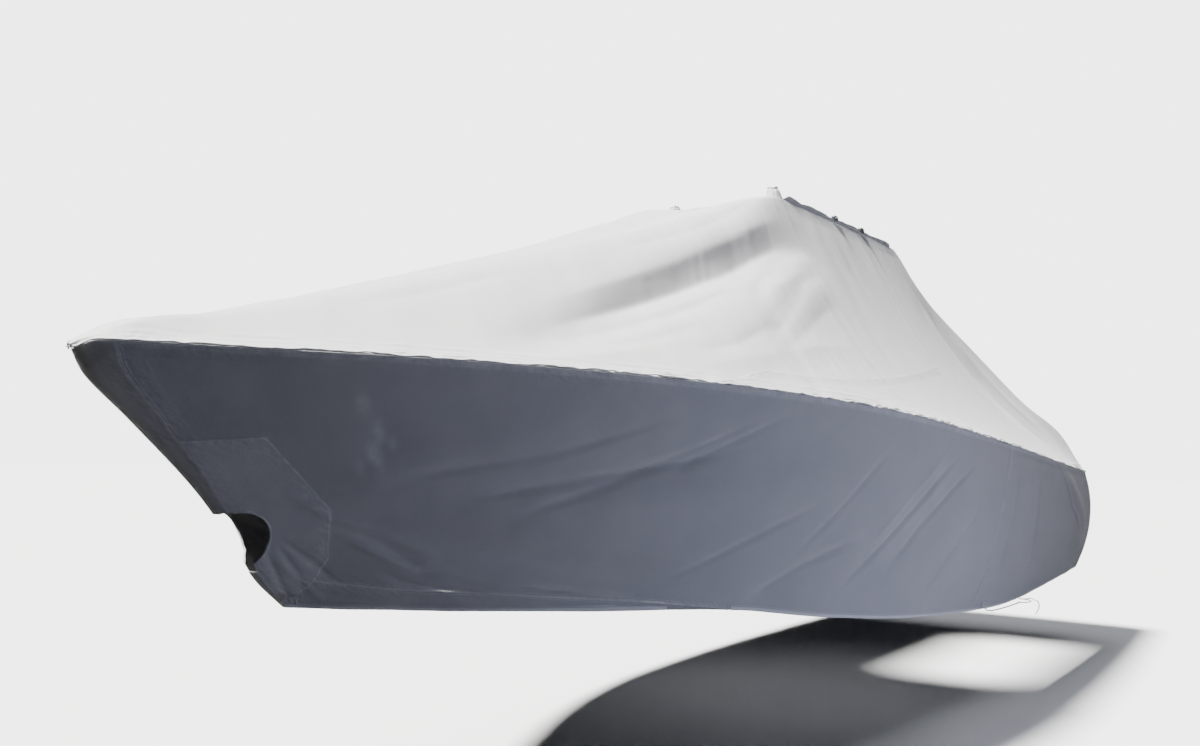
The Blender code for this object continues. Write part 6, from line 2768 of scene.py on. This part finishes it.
    def build_buckle(self, side: Side, number: int, aft: float, out: float) -> Piece:
        """Makes one ladder-lock buckle: a frame with two slots, a raised bar between and a lifting lip.

        Args:
            side: the side.
            number: its number from the front.
            aft: how far aft.
            out: how far out.

        Returns:
            The buckle.
        """
        thick, length, width = self.buckle_size
        deselect()
        bpy.ops.mesh.primitive_grid_add(x_subdivisions=9, y_subdivisions=5, size=1.0)
        buckle = bpy.context.active_object
        buckle.name = f"buckle_frame_{side.word}_{number}"
        edit_all(buckle)
        bpy.ops.transform.resize(value=(length, width, 1.0))
        bpy.ops.mesh.select_all(action="DESELECT")
        close_edit()
        for face in buckle.data.polygons:
            x, y = face.center.x / length, face.center.y / width
            face.select = abs(y) < 0.35 and (0.05 < x < 0.28 or -0.28 < x < -0.05)
        bpy.ops.object.mode_set(mode="EDIT")
        bpy.ops.mesh.select_mode(type="FACE")
        bpy.ops.mesh.delete(type="FACE")
        bpy.ops.mesh.select_all(action="SELECT")
        bpy.ops.mesh.extrude_region_move(TRANSFORM_OT_translate={"value": (0.0, 0.0, thick * 0.62)})
        bpy.ops.mesh.select_all(action="DESELECT")
        close_edit()
        for face in buckle.data.polygons:
            raised = face.center.z > thick * 0.5 and face.normal.z > 0.5
            face.select = raised and (abs(face.center.x) < length * 0.06 or face.center.x > length * 0.40)
        bpy.ops.object.mode_set(mode="EDIT")
        bpy.ops.mesh.extrude_region_move(TRANSFORM_OT_translate={"value": (0.0, 0.0, thick * 0.30)})
        bpy.ops.transform.resize(value=(0.9, 0.94, 1.0))
        bpy.ops.mesh.select_all(action="SELECT")
        bpy.ops.transform.translate(value=(0.0, 0.0, -thick * 0.46))
        self.stand_up()
        close_edit()
        round_edges(buckle, self.buckle_edge)
        apply_modifiers(buckle)
        buckle.data.transform(self.fitting_frame(aft, out + thick / 2, side))
        self.face_out(buckle)
        settle(buckle, "buckle_plastic", self.finishes.buckle_plastic, f"collar_buckle_{side.word}_{number}")
        return buckle

    def build(self) -> None:
        """Makes the neck's pieces."""
        band = self.build_band()
        for side in Side:
            self.build_boot(side)
        cuff = self.half_width()
        for side in Side:
            for number, aft in enumerate(self.buckle_aft, 1):
                self.build_strap(side, number, aft, cuff + self.strap_lift)
                self.build_buckle(side, number, aft, cuff + self.buckle_lift)


@dataclass
class HemTab:
    """The sewn tab on the port hem that the tie is hitched to."""

    bow: BowReinforcement
    finishes: Finishes
    size: Triple = (0.003, 0.060, 0.045)
    place: tuple[float, float] = (6.46, 0.977)
    lift: float = 0.003
    cut: Triple = (0.060, 0.050, 0.0028)

    def build(self) -> None:
        """Makes the tab."""
        thick, length, height = self.size
        matrix = self.bow.skirt_frame(*self.place, self.lift + thick / 2)
        u, v = np.meshgrid(np.linspace(-1, 1, 19), np.linspace(1, -1, 15), indexing="ij")
        x = 0.0006 * np.sin(5 * u + 1) * np.cos(3 * v) + 0.0010 * bell(v + 0.2, 0.5) * bell(u, 0.5)
        local = np.stack([x, u * length / 2 * (1 - 0.04 * v**2), v * height / 2, np.ones_like(x)], -1)
        points = (local @ np.array(matrix).T)[..., :3] - self.bow.lines.place((0.0, 0.0, 0.0))
        edge = nearest_edge((1 - np.abs(u)) * length / 2, (1 - np.abs(v)) * height / 2)
        tab = ClothSheet("hem_tab_cloth", points, edge=edge, offset=0.0).build(self.bow.lines)
        settle(tab, "canvas_doubled", self.finishes.canvas_doubled, "tie_tab")


# ---------------------------------------------------------------- the whole cover


def main() -> None:
    """Builds the cover, piece by piece."""
    logging.basicConfig(level=logging.INFO, format="%(name)s: %(message)s")
    studio = Studio()
    studio.build_camera()
    studio.build_lights()
    studio.build_floor()
    lines = BoatLines()
    folds = Folds(lines)
    finishes = Finishes()
    HemTie(lines, finishes).build()
    CanvasTop(lines, folds, finishes).build()
    skirt = Skirt(lines, folds, finishes)
    bow = BowReinforcement(lines, folds, skirt, finishes)
    cutter = bow.build_cutter()
    skirt.build(cutter)
    bow.build(cutter)
    bpy.data.objects.remove(cutter)
    GunwaleTrim(lines, folds, finishes).build()
    Neck(lines, finishes).build()
    HemTab(bow, finishes).build()


if __name__ == "__main__":
    main()
